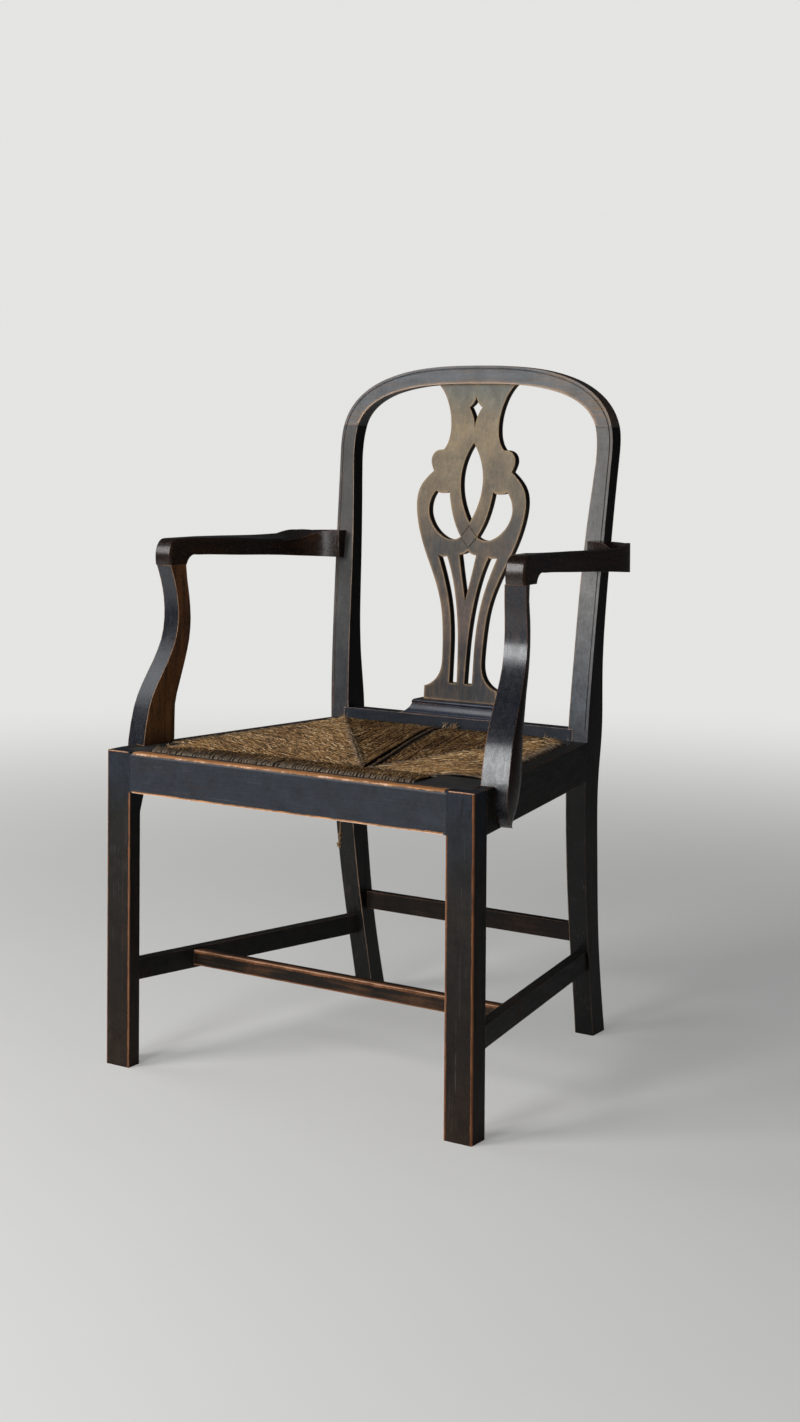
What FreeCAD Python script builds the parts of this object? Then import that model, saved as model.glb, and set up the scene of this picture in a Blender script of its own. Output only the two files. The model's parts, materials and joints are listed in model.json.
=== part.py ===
import FreeCAD, Part
import math
import os
import Sketcher

# Open armchair with a pierced splat, shaped arms and a drop-in rush seat.
# Millimetres, +Z up, the front faces -Y, +X is the right side seen from the front.

Vec = FreeCAD.Vector
doc = FreeCAD.newDocument("OpenArmchair")
sheet = doc.addObject("Spreadsheet::Sheet", "Sizes")

# Driving sizes. Depths are measured back from the front face of the front legs.
SIZES = (
    ("chair_depth", 521, "front face of the legs to the heel of the back feet"),
    ("front_width", 582, "over the front legs"),
    ("leg_width", 40, "front leg, side to side"),
    ("leg_depth", 31, "front leg, front to back"),
    ("leg_bevel", 9, "bevel on the inner back corner of the front leg"),
    ("leg_round", 2.5, "worn outer front corner of the front leg"),
    ("bevel_stop", 85, "the full bevel of the leg ends this far below the rail top"),
    ("bevel_runout", 27, "length of the run-out of the bevel"),
    ("rail_top", 430, "top of the front and side seat rails"),
    ("rail_depth", 55, "height of the seat rails"),
    ("rail_thick", 32, "front and side rails with their ledge"),
    ("lip_width", 20, "rail lip outside the drop-in seat"),
    ("rebate_depth", 22, "depth of the seat rebate below the rail top"),
    ("lip_round", 6, "rounding of the top edge of the front rail"),
    ("groove_size", 1.5, "width and depth of the groove in the side rails"),
    ("groove_inset", 5, "groove in from the outer edge of the side rail"),
    ("back_rail_rise", 17, "top of the back seat rail above the side rails"),
    ("back_rail_thick", 22, "back seat rail, front to back"),
    ("back_rail_inset", 89, "front face of the back seat rail in from the heel"),
    ("foot_half", 204, "centre line to the outside of the back foot"),
    ("foot_width", 29, "back foot, side to side"),
    ("post_width", 31.2, "post at the seat, side to side"),
    ("post_half_top", 232.7, "centre line to the outside of the post at the spring of the crest"),
    ("post_top_width", 24.7, "post at the spring of the crest, side to side"),
    ("post_rise", 410, "spring of the arch of the crest above the side rails"),
    ("joint_rise", 33, "joint between post and crest above the spring"),
    ("crest_rise", 123.5, "top of the crest rail above the spring"),
    ("opening_rise", 96.5, "underside of the crest rail above the spring"),
    ("crest_outer_power", 2.6, "roundness of the outer arch"),
    ("crest_inner_power", 2.8, "roundness of the inner arch"),
    ("crest_thick_top", 20, "crest rail, front to back, at the top"),
    ("bead_width", 4, "bead along the outer front edge of posts and crest"),
    ("bead_groove", 1.2, "width and depth of the groove beside the bead"),
    ("splat_thick", 12, "splat, front to back"),
    ("splat_half", 93.5, "centre line to the widest point of the splat"),
    ("splat_inset", 14, "front of the splat behind the front of the back rail"),
    ("splat_lean", 0.0965, "backward lean of the splat per unit of height"),
    ("tongue_long", 8, "tongues of the splat in the crest and the shoe"),
    ("strap_cut", 0.8, "depth of the incised line round the crossing of the splat"),
    ("shoe_height", 22, "height of the splat shoe"),
    ("shoe_half_top", 70, "half length of the shoe at its bead"),
    ("shoe_half_base", 97, "half length of the shoe on the rail"),
    ("side_str_thick", 16, "side stretcher thickness"),
    ("side_str_height", 28, "side stretcher height"),
    ("side_str_top", 137, "top of the side stretcher at the front leg"),
    ("side_str_drop", 10, "fall of the side stretcher toward the back"),
    ("side_str_inset", 4, "side stretcher in from the outside of the front leg"),
    ("side_str_out", 1, "side stretcher out from the outside of the back foot"),
    ("side_str_heel", 61, "back end of the side stretcher in from the heel"),
    ("cross_front", 140, "front face of the cross stretcher"),
    ("cross_thick", 15, "cross stretcher, front to back"),
    ("cross_drop", 5.5, "top of the cross stretcher below that of the side stretchers"),
    ("cross_height", 21, "height of the cross stretcher"),
    ("back_str_inset", 47, "front face of the back stretcher in from the heel"),
    ("back_str_thick", 13, "back stretcher, front to back"),
    ("back_str_top", 161, "top of the back stretcher"),
    ("back_str_height", 26, "height of the back stretcher"),
    ("tenon_thick", 9, "thickness of the rail tenons"),
    ("tenon_long", 18, "length of the rail tenons"),
    ("tenon_shoulder", 8, "rail above and below its tenon"),
    ("small_tenon", 8, "thickness of the stretcher tenons"),
    ("small_tenon_long", 12, "length of the stretcher tenons"),
    ("small_shoulder", 4, "stretcher above and below its tenon"),
    ("back_rail_tenon", 9, "length of the back seat rail tenons"),
    ("top_tenon_long", 16, "length of the tenons of the posts in the crest"),
    ("top_tenon_cheek", 6.5, "post beside each tenon at the crest joint"),
    ("joint_gap", 0.2, "clearance all round a tenon"),
    ("support_front", 51, "foremost point of the arm support"),
    ("arm_rise", 246, "joint between the arm and its support above the side rails"),
    ("arm_thick", 37, "knuckle of the arm from its joint to its top"),
    ("arm_inset", 22, "inner face of the knuckle in from the outside of the front leg"),
    ("arm_width", 29, "width of the arm at the knuckle"),
    ("arm_tuck", 15.7, "end of the arm in from the outside of the post"),
    ("arm_scribe", 0.7, "end of the arm let into the front of the post"),
    ("arm_chamfer", 2.5, "bevel of the long upper edges of the arm"),
    ("knuckle_front", 49, "front of the arm behind the foremost point of its support"),
    ("dowel_size", 12, "round tenon of the arm support"),
    ("dowel_long", 18, "length of that tenon"),
    ("screw_shank", 4.5, "wood screw shank"),
    ("screw_head", 9, "wood screw head"),
    ("screw_cap", 0.8, "thickness of the rim of the screw head"),
    ("screw_play", 0.1, "clearance round a screw"),
    ("arm_screw_long", 34, "length of the arm screws"),
    ("foot_screw_long", 44, "length of the arm support screws"),
    ("brace_size", 42, "legs of the triangular corner braces"),
    ("brace_height", 20, "height of the corner braces"),
    ("seat_gap", 1, "clearance round the drop-in seat"),
    ("block_long_left", 36, "left front corner block, side to side"),
    ("block_long_right", 82, "right front corner block, side to side"),
    ("block_deep", 70, "front corner blocks, front to back"),
    ("back_block", 26, "back corner blocks"),
    ("seat_rail_inset", 5, "seat frame rails in from the edge of the seat"),
    ("seat_rail_wide", 38, "width of the seat frame rails"),
    ("seat_rail_lift", 5, "seat frame rails above the ledge"),
    ("seat_rail_thick", 14, "thickness of the seat frame rails"),
    ("seat_tenon_long", 10, "length of the seat frame tenons"),
    ("seat_shoulder", 3, "seat frame rail above and below its tenon"),
    ("rush_clear", 0.3, "clearance between rush and wood"),
    ("rush_under", 0.6, "underside of the rush above the ledge, at the rails"),
    ("rush_crown", 6, "top of the rush above the side rails"),
    ("rush_dip", 23, "fall of the rush from its crown to the middle of the seat"),
    ("rush_belly", 14, "thickness of the rush at the middle of the seat"),
    ("rush_centre", 63, "middle of the weave in front of the middle of the seat"),
    ("tail_size", 3.2, "thickness of the loose rush end"),
    ("tail_long", 168, "length of the loose rush end below the seat"),
)
for row, (alias, value, note) in enumerate(SIZES, start=1):
    sheet.set(f"A{row}", note)
    sheet.set(f"B{row}", str(value))
    sheet.setAlias(f"B{row}", alias)
doc.recompute()


class Size:
    """A number together with the sheet expression that gives it."""

    def __init__(self, value, text):
        self.value = value
        self.text = text

    def join(self, other, sign, result):
        other = size(other)
        return Size(result(self.value, other.value), f"({self.text} {sign} {other.text})")

    def __add__(self, other):
        return self.join(other, "+", lambda a, b: a + b)

    def __sub__(self, other):
        return self.join(other, "-", lambda a, b: a - b)

    def __mul__(self, other):
        return self.join(other, "*", lambda a, b: a * b)

    def __truediv__(self, other):
        return self.join(other, "/", lambda a, b: a / b)

    def __neg__(self):
        return Size(-self.value, f"(-{self.text})")


def size(value):
    """Wrap a plain number as a Size."""
    if isinstance(value, Size):
        return value
    return Size(float(value), f"({value})" if value < 0 else f"{value}")


def cell(alias):
    """The sheet value of an alias as a Size."""
    return Size(float(sheet.get(alias)), f"Sizes.{alias}")


def num(alias):
    """The sheet value of an alias as a number."""
    return float(sheet.get(alias))


DEPTH_SHIFT = -cell("chair_depth") / 2


def place(obj, label):
    """Name an object and move it so that the chair is centred front to back."""
    obj.Label = label
    obj.setExpression("Placement.Base.y", DEPTH_SHIFT.text)
    return obj


def new_body(label):
    """An empty body with its label and placement."""
    return place(doc.addObject("PartDesign::Body", label + "_body"), label)


def plane_of(body, index):
    """One of the three base planes of a body: 0 is XY, 1 is XZ, 2 is YZ."""
    return body.Origin.OriginFeatures[3 + index]


def outline(body, name, level, points):
    """A closed polygon on a level plane, each corner held by two sheet distances."""
    sk = body.newObject("Sketcher::SketchObject", name)
    sk.AttachmentSupport = (plane_of(body, 0), [""])
    sk.MapMode = "FlatFace"
    sk.setExpression("AttachmentOffset.Base.z", size(level).text)
    spots = [(size(x), size(y)) for x, y in points]
    count = len(spots)
    for i in range(count):
        x0, y0 = spots[i]
        x1, y1 = spots[(i + 1) % count]
        sk.addGeometry(Part.LineSegment(Vec(x0.value, y0.value, 0), Vec(x1.value, y1.value, 0)), False)
    for i in range(count):
        sk.addConstraint(Sketcher.Constraint("Coincident", i, 2, (i + 1) % count, 1))
    for i, spot in enumerate(spots):
        for kind, axis, part in (("DistanceX", -2, spot[0]), ("DistanceY", -1, spot[1])):
            if abs(part.value) < 1e-9:
                sk.addConstraint(Sketcher.Constraint("PointOnObject", i, 1, axis))
                continue
            where = sk.addConstraint(Sketcher.Constraint(kind, -1, 1, i, 1, part.value))
            sk.setExpression(f"Constraints[{where}]", part.text)
    return sk


def box_points(x0, y0, x1, y1):
    """The four corners of a rectangle."""
    return ((x0, y0), (x1, y0), (x1, y1), (x0, y1))


def pad(body, name, low, high, points):
    """Add a straight prism between two heights."""
    sk = outline(body, name + "_sketch", low, points)
    feature = body.newObject("PartDesign::Pad", name)
    feature.Profile = sk
    feature.setExpression("Length", (size(high) - low).text)
    sk.Visibility = False
    doc.recompute()
    return feature


def pocket(body, name, low, high, points):
    """Cut a straight prism between two heights."""
    sk = outline(body, name + "_sketch", high, points)
    feature = body.newObject("PartDesign::Pocket", name)
    feature.Profile = sk
    feature.setExpression("Length", (size(high) - low).text)
    sk.Visibility = False
    doc.recompute()
    return feature


def edges_where(shape, test):
    """Names of the straight edges whose two ends both pass a test."""
    names = []
    for number, edge in enumerate(shape.Edges, start=1):
        ends = [v.Point for v in edge.Vertexes]
        if len(ends) == 2 and test(ends[0]) and test(ends[1]):
            names.append(f"Edge{number}")
    return names


def soften(body, kind, name, alias, test):
    """Fillet or chamfer the edges of the tip that pass a test."""
    base = body.Tip
    names = edges_where(base.Shape, test)
    feature = body.newObject("PartDesign::" + kind, name)
    feature.Base = (base, names)
    feature.setExpression("Radius" if kind == "Fillet" else "Size", cell(alias).text)
    doc.recompute()
    return feature


def solid(label, shape):
    """A finished shape as a named object."""
    obj = doc.addObject("Part::Feature", label)
    obj.Shape = shape
    return place(obj, label)


def mirror(source, label):
    """The left-right mirror image of a piece."""
    obj = doc.addObject("Part::Mirroring", label)
    obj.Source = source
    obj.Normal = Vec(1, 0, 0)
    obj.Label = label
    doc.recompute()
    return obj


def line(a, b):
    """A straight edge."""
    return Part.makeLine(a, b)


FAIR = 0.12


def smooth(points):
    """A smooth curve through points."""
    curve = Part.BSplineCurve()
    curve.interpolate(points)
    return curve


def edges_through(points):
    """A line through two points, an arc through three, or a smooth run of tangent arcs through more."""
    points = list(points)
    if len(points) == 2:
        return [line(*points)]
    if len(points) == 3:
        return [Part.Arc(*points).toShape()]
    return [arc.toShape() for arc in smooth(points).toBiArcs(FAIR)]


def chain(parts):
    """A closed wire from lists of points: two points make a line, more make a curve."""
    edges = []
    for points in parts:
        edges += edges_through(points)
    return Part.Wire(edges)


def prism(wire, vector):
    """The solid swept by a flat wire along a vector."""
    return Part.Face(wire).extrude(vector)


def block(x0, x1, y0, y1, z0, z1):
    """A box between limits."""
    return Part.makeBox(x1 - x0, y1 - y0, z1 - z0, Vec(x0, y0, z0))


def xz(x, z, y=0):
    """A point of an outline seen from the front."""
    return Vec(x, y, z)


def yz(y, z, x=0):
    """A point of a profile seen from the side."""
    return Vec(x, y, z)


half_front = cell("front_width") / 2
leg_in = half_front - cell("leg_width")
rail_low = cell("rail_top") - cell("rail_depth")
ledge = cell("rail_top") - cell("rebate_depth")
gap = cell("joint_gap")
back_face = cell("chair_depth") - cell("back_rail_inset")
spring = cell("rail_top") + cell("post_rise")
seat_half_back = cell("foot_half") + (cell("post_half_top") - cell("foot_half")) * cell("rail_top") / spring


def side_x(inset, y):
    """Distance from the centre line to a line set in from the outside of the side rail."""
    rise = (half_front - seat_half_back) / (back_face - cell("leg_depth"))
    return half_front - inset - rise * (size(y) - cell("leg_depth"))


def stretcher_x(inset, y):
    """Distance from the centre line to a line set in from the outside of the side stretcher."""
    start = half_front - cell("side_str_inset")
    stop = cell("foot_half") + cell("side_str_out")
    rise = (start - stop) / (cell("chair_depth") - cell("side_str_heel") - cell("leg_depth"))
    return start - inset - rise * (size(y) - cell("leg_depth"))


DEPTH = num("chair_depth")
FAR = DEPTH + 100
LOW = rail_low.value
LEDGE = ledge.value
RAIL_TOP = num("rail_top")
RAIL_FRONT = back_face.value
RAIL_BACK = RAIL_FRONT + num("back_rail_thick")
BACK_TOP = RAIL_TOP + num("back_rail_rise")
SHOE_TOP = BACK_TOP + num("shoe_height")
SPRING = spring.value
JOINT = SPRING + num("joint_rise")
CREST_TOP = SPRING + num("crest_rise")
CREST_UNDER = SPRING + num("opening_rise")
GAP = gap.value
HALF_TENON = num("tenon_thick") / 2
HALF_SMALL = num("small_tenon") / 2
SHORT = num("small_tenon_long")
HALF_FRONT = half_front.value

# Back posts: the side profile and the front profile of one board, sawn on two faces. The curves are rows
# of height and depth, drawn from the floor to the crest joint and from the seat rail to the heel. They
# stretch with the legs, the posts and the rake of the feet.
FRONT_CURVE = ((0, 486), (60, 475), (130, 461), (270, 440), (400, 432), (560, 441.5), (740, 462), (873, 478))
BACK_CURVE = ((0, 521), (60, 507), (130, 493), (270, 477), (380, 471.5), (446, 476.5), (515, 472), (660, 477.5),
              (745, 486.5), (873, 504))
WIDTHS = ((0, num("foot_width")), (250, 30.5), (430, num("post_width")), (560, 30.7), (680, 30.5), (800, 25.8))


def drawn_z(z):
    """Real height of a drawn one, in proportion below the seat and above it."""
    seat = WIDTHS[2][0]
    if z <= seat:
        return z * RAIL_TOP / seat
    return RAIL_TOP + (z - seat) * (JOINT - RAIL_TOP) / (FRONT_CURVE[-1][0] - seat)


def drawn_y(y):
    """Real depth of a drawn one, in proportion between the seat rail and the heel."""
    rail = min(depth for _, depth in FRONT_CURVE)
    return RAIL_FRONT + (y - rail) * (DEPTH - RAIL_FRONT) / (BACK_CURVE[0][1] - rail)


def post_outer(z):
    """Half width over the posts at a height below the spring of the crest."""
    return num("foot_half") + (num("post_half_top") - num("foot_half")) * z / SPRING


POST_FRONT = [(drawn_z(z), drawn_y(y)) for z, y in FRONT_CURVE]
POST_BACK = [(drawn_z(z), drawn_y(y)) for z, y in BACK_CURVE]
POST_INNER = [(drawn_z(z), post_outer(drawn_z(z)) - width) for z, width in WIDTHS]
POST_INNER.append((SPRING, num("post_half_top") - num("post_top_width")))


def along(rows, z):
    """Depth of a post profile at a height, straight between its points."""
    for (z0, y0), (z1, y1) in zip(rows, rows[1:]):
        if z <= z1:
            break
    return y0 + (y1 - y0) * (z - z0) / (z1 - z0)


def arch(half, top, power, low, count):
    """Half of a rounded arch: |x / half|^power + |rise / height|^power = 1, from low to its centre."""
    height = top - SPRING
    start = math.asin(((low - SPRING) / height) ** (power / 2))
    points = []
    for i in range(count + 1):
        turn = start + (math.pi / 2 - start) * i / count
        x = half * max(math.cos(turn), 0) ** (2 / power)
        points.append((x, SPRING + height * math.sin(turn) ** (2 / power)))
    return points


def outer_arch(low, inset=0.0, count=9):
    """Points of the outer line of the crest, moved in by an inset."""
    return arch(num("post_half_top") - inset, CREST_TOP - inset, num("crest_outer_power"), low, count)


def inner_arch(low, count=9):
    """Points of the inner line of the crest."""
    return arch(POST_INNER[-1][1], CREST_UNDER, num("crest_inner_power"), low, count)


def arch_x(half, top, power, z):
    """Half width of an arch at a height."""
    rise = (z - SPRING) / (top - SPRING)
    return half * (1 - rise ** power) ** (1 / power)


def crest_x(inset):
    """Half width of the outer arch at the crest joint, moved in by an inset."""
    return arch_x(num("post_half_top") - inset, CREST_TOP - inset, num("crest_outer_power"), JOINT)


def crest_inner_x():
    """Half width of the inner arch at the crest joint."""
    return arch_x(POST_INNER[-1][1], CREST_UNDER, num("crest_inner_power"), JOINT)


def side_board(half):
    """The post seen from the side, as a board this far to both sides of the centre line."""
    front = [yz(y, z, -half) for z, y in POST_FRONT]
    back = [yz(y, z, -half) for z, y in reversed(POST_BACK)]
    wire = chain((front, (front[-1], back[0]), back, (back[-1], front[0])))
    return prism(wire, Vec(2 * half, 0, 0))


def front_board(inset_outer, inset_inner):
    """The left post seen from the front between two lines, as a deep board."""
    top = [p for p in outer_arch(SPRING, inset_outer, 60) if p[1] < JOINT]
    knee = [xz(-x, z) for x, z in top[::3]] + [xz(-crest_x(inset_outer), JOINT)]
    foot = xz(-(post_outer(0) - inset_outer), 0)
    if inset_inner is None:
        inner = [xz(-x, z) for z, x in POST_INNER] + [xz(-crest_inner_x(), JOINT)]
        inner.reverse()
        wire = chain(((foot, knee[0]), knee, (knee[-1], inner[0]), inner, (inner[-1], foot)))
    else:
        top = [p for p in outer_arch(SPRING, inset_inner, 60) if p[1] < JOINT]
        other = [xz(-x, z) for x, z in top[::3]] + [xz(-crest_x(inset_inner), JOINT)]
        start = xz(-(post_outer(BACK_TOP) - inset_outer), BACK_TOP)
        stop = xz(-(post_outer(BACK_TOP) - inset_inner), BACK_TOP)
        other.reverse()
        wire = chain(((start, knee[0]), knee, (knee[-1], other[0]), other, (other[-1], stop), (stop, start)))
    return prism(wire, Vec(0, FAR, 0))


def flip(shape):
    """The left-right mirror image of a shape."""
    return shape.mirror(Vec(0, 0, 0), Vec(1, 0, 0))


# Left back post, worked on its right side as well by the mirror.
WIDE = num("post_half_top") + 60
post_blank = side_board(WIDE).common(front_board(0, None))
skin = side_board(WIDE).cut(side_board(WIDE + 1).translated(Vec(0, num("bead_groove"), 0)))
bead_line = front_board(num("bead_width"), num("bead_width") + num("bead_groove"))
post = post_blank.cut(skin.common(bead_line))
TOP_MIDDLE = (POST_FRONT[-1][1] + POST_BACK[-1][1]) / 2


def top_tenon(grow):
    """The tenon on top of the left post."""
    cheek = num("top_tenon_cheek")
    return block(-crest_x(0) + cheek - grow, -crest_inner_x() - cheek + grow,
                 TOP_MIDDLE - HALF_TENON - grow, TOP_MIDDLE + HALF_TENON + grow,
                 JOINT - 1, JOINT + num("top_tenon_long") + grow)


# Back seat rail between the posts.
RAIL_MID = (RAIL_FRONT + RAIL_BACK) / 2
SEAT_INNER = post_outer(RAIL_TOP) - num("post_width")


def back_rail_tenon(grow):
    """The tenon of the back seat rail in the left post."""
    shoulder = num("tenon_shoulder")
    return block(-SEAT_INNER - num("back_rail_tenon") - grow, -SEAT_INNER + 4, RAIL_MID - HALF_TENON - grow,
                 RAIL_MID + HALF_TENON + grow, LOW + shoulder - grow, BACK_TOP - shoulder + grow)


def between_lines(line_x, inset0, inset1, y0, y1, z0, z1):
    """A prism on the left side between two slanting lines, given by a function of inset and depth."""
    corners = []
    for inset, y in ((inset0, y0), (inset1, y0), (inset1, y1), (inset0, y1)):
        corners.append(Vec(-line_x(size(inset), y).value, y, z0))
    return prism(Part.makePolygon(corners + corners[:1]), Vec(0, 0, z1 - z0))


LEG_BACK = num("leg_depth")
LIP = num("lip_width")
THICK = num("rail_thick")
TENON_IN = num("tenon_shoulder")
TENON_OUT = TENON_IN + num("tenon_thick")
TENON_LONG = num("tenon_long")


def side_rail_mortise():
    """The mortise of the left side rail in the post."""
    return between_lines(side_x, TENON_IN - GAP, TENON_OUT + GAP, RAIL_FRONT - 6, RAIL_FRONT + TENON_LONG + GAP,
                         LOW + TENON_IN - GAP, RAIL_TOP - TENON_IN + GAP)


side_solid = between_lines(side_x, 0, LIP, LEG_BACK, RAIL_FRONT, LOW, RAIL_TOP)
side_solid = side_solid.fuse(between_lines(side_x, LIP, THICK, LEG_BACK, RAIL_FRONT, LOW, LEDGE))


def stretcher_prism(inset0, inset1, y0, y1, shoulder):
    """A sloping bar between two lines parallel to the outside of the left side stretcher."""
    plan = between_lines(stretcher_x, inset0, inset1, y0, y1, 0, RAIL_TOP)
    top = num("side_str_top")
    fall = num("side_str_drop") / (RAIL_FRONT - LEG_BACK)
    tall = num("side_str_height")
    ends = []
    for y, up in ((0, -shoulder), (FAR, -shoulder), (FAR, shoulder - tall), (0, shoulder - tall)):
        ends.append(yz(y, top + up - fall * (y - LEG_BACK), -FAR))
    slab = prism(Part.makePolygon(ends + ends[:1]), Vec(FAR, 0, 0))
    return plan.common(slab)


STRETCH = num("side_str_thick")
SMALL = num("small_shoulder")
STRETCHER_MID = num("side_str_top") - num("side_str_drop") - num("side_str_height") / 2
LEG_AT_STRETCHER = along(POST_FRONT, STRETCHER_MID)


def side_stretcher_tenon(back, grow):
    """A tenon of the left side stretcher: into the leg, or into the post."""
    y0, y1 = (LEG_BACK - SHORT - grow, LEG_BACK + 4)
    if back:
        y0, y1 = (LEG_AT_STRETCHER - 8, LEG_AT_STRETCHER + SHORT + grow)
    middle = STRETCH / 2
    return stretcher_prism(middle - HALF_SMALL - grow, middle + HALF_SMALL + grow, y0, y1, SMALL - grow)


side_stretcher = stretcher_prism(0, STRETCH, LEG_BACK, LEG_AT_STRETCHER + SHORT, 0).cut(post_blank)
for at_back in (False, True):
    side_stretcher = side_stretcher.fuse(side_stretcher_tenon(at_back, 0))

# Cross stretcher between the side stretchers, its ends cut to their slant.
cross_y0 = cell("cross_front")
cross_y1 = cross_y0 + cell("cross_thick")
cross_middle = cross_y0 + cell("cross_thick") / 2
cross_top = cell("side_str_top") - cell("cross_drop")
cross_low = cross_top - cell("cross_height")
cross_face = stretcher_x(cell("side_str_thick"), cross_middle)
cross_end = cross_face + cell("small_tenon_long") - 2
half_small = cell("small_tenon") / 2
cross = new_body("cross_stretcher")
cross_in = stretcher_x(cell("side_str_thick"), cross_y0)
cross_out = stretcher_x(cell("side_str_thick"), cross_y1)
pad(cross, "cross_bar", cross_low, cross_top,
    ((-cross_in, cross_y0), (cross_in, cross_y0), (cross_out, cross_y1), (-cross_out, cross_y1)))
pad(cross, "cross_tenons", cross_low + cell("small_shoulder"), cross_top - cell("small_shoulder"),
    box_points(-cross_end, cross_middle - half_small, cross_end, cross_middle + half_small))
cross_mortise = block(-cross_end.value - GAP, -cross_face.value + 4,
                      cross_middle.value - HALF_SMALL - GAP, cross_middle.value + HALF_SMALL + GAP,
                      cross_low.value + SMALL - GAP, cross_top.value - SMALL + GAP)
side_stretcher = side_stretcher.cut(cross_mortise).removeSplitter()

# Back stretcher between the posts.
BACK_STR = (DEPTH - num("back_str_inset"), DEPTH - num("back_str_inset") + num("back_str_thick"))
BACK_STR_Z = (num("back_str_top") - num("back_str_height"), num("back_str_top"))
FOOT_INNER = num("foot_half") - num("foot_width")


def back_stretcher_tenon(grow):
    """The tenon of the back stretcher in the left post."""
    middle = (BACK_STR[0] + BACK_STR[1]) / 2
    half = num("back_str_thick") / 4
    reach = FOOT_INNER + 4
    return block(-reach - SHORT - grow, -reach + 8, middle - half - grow, middle + half + grow,
                 BACK_STR_Z[0] + SMALL - grow, BACK_STR_Z[1] - SMALL + grow)


IN_POST = post_outer(BACK_STR_Z[0]) - num("foot_width") / 2
bar = block(-IN_POST, IN_POST, BACK_STR[0], BACK_STR[1], BACK_STR_Z[0], BACK_STR_Z[1])
back_stretcher = bar.cut(post_blank).cut(flip(post_blank))
back_stretcher = back_stretcher.fuse(back_stretcher_tenon(0)).fuse(flip(back_stretcher_tenon(0)))
back_stretcher = back_stretcher.removeSplitter()
bar = block(-SEAT_INNER - 8, SEAT_INNER + 8, RAIL_FRONT, RAIL_BACK, LOW, BACK_TOP)
back_rail = bar.cut(post_blank).cut(flip(post_blank))
back_rail = back_rail.fuse(back_rail_tenon(0)).fuse(flip(back_rail_tenon(0))).removeSplitter()


# Right arm support: rows of height above the side rail, inner face and its front, outer face and its
# front, back, and swell. Faces are out from the leg, depths back from the front of the support.
ARM_IN = -num("arm_inset")
ARM_OUT = ARM_IN + num("arm_width")
SUPPORT = (
    (-54, -21, 25, 8, 30, 46, 4),
    (-45, -21.5, 11, 10.5, 18, 53, 9),
    (-25, -21.5, 0, 12.5, 7.5, 61, 15),
    (5, -21.5, 1.5, 13.5, 9, 67, 17),
    (50, -21.5, 11.5, 12.5, 19.5, 68, 15.5),
    (80, -23, 26, 10.5, 34, 76, 13.3),
    (110, -25.5, 45.5, 6.5, 52, 84.5, 12),
    (140, -27.2, 61, 3.5, 67, 92, 11),
    (170, -27.8, 67.5, 2.8, 73, 94.5, 10.7),
    (200, -27, 66.5, 2.8, 71.5, 92.5, 11),
    (225, -25, 62, 4.2, 66.5, 90, 10),
    (246, ARM_IN, 57, ARM_OUT, 61, 91, 9.5),
)
FLATS = 7
SUPPORT_FRONT = num("support_front")


def support_section(up, inner, inner_front, outer, outer_front, back, swell):
    """A flat front and inner face joined by a swelling back: two lines and an arc in narrow flats."""
    z = RAIL_TOP + (up * num("arm_rise") / SUPPORT[-1][0] if up > 0 else up)
    a = Vec(HALF_FRONT + inner, SUPPORT_FRONT + inner_front, z)
    b = Vec(HALF_FRONT + outer, SUPPORT_FRONT + outer_front, z)
    c = Vec(HALF_FRONT + inner, SUPPORT_FRONT + back, z)
    half = (c - b).Length / 2
    way = (c - b) / (2 * half)
    out = Vec(way.y, -way.x, 0)
    radius = (half * half + swell * swell) / (2 * swell)
    opening = 2 * math.atan(swell / half)
    corners = [a, b]
    for step in range(1, FLATS):
        turn = opening * (2 * step / FLATS - 1)
        bulge = radius * math.cos(turn) - radius + swell
        corners.append((b + c) / 2 + way * radius * math.sin(turn) + out * bulge)
    return Part.makePolygon(corners + [c, a])


def doubled(rows):
    """Rows with one more between each pair, on a smooth curve through its four neighbours."""
    filled = []
    last = len(rows) - 1
    for i in range(last):
        p0, p1, p2, p3 = rows[max(i - 1, 0)], rows[i], rows[i + 1], rows[min(i + 2, last)]
        filled.append(p1)
        filled.append(tuple(0.5625 * (b + c) - 0.0625 * (a + d) for a, b, c, d in zip(p0, p1, p2, p3)))
    filled.append(rows[-1])
    return filled


ARM_JOINT = RAIL_TOP + num("arm_rise")
support = Part.makeLoft([support_section(*row) for row in doubled(SUPPORT)], True, True)
leg_box = block(leg_in.value, HALF_FRONT, 0, LEG_BACK, 0, RAIL_TOP)
support = support.cut(flip(side_solid)).cut(leg_box)
support = support.cut(flip(between_lines(side_x, LIP, THICK + 10, 0, FAR, LOW, RAIL_TOP)))
DOWEL = (HALF_FRONT - 9, SUPPORT_FRONT + 72)


def dowel(grow):
    """The round tenon on top of the right arm support."""
    radius = num("dowel_size") / 2 + grow
    return Part.makeCylinder(radius, num("dowel_long") + grow + 4, Vec(DOWEL[0], DOWEL[1], ARM_JOINT - 4))


support = support.fuse(dowel(0)).removeSplitter()

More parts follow.
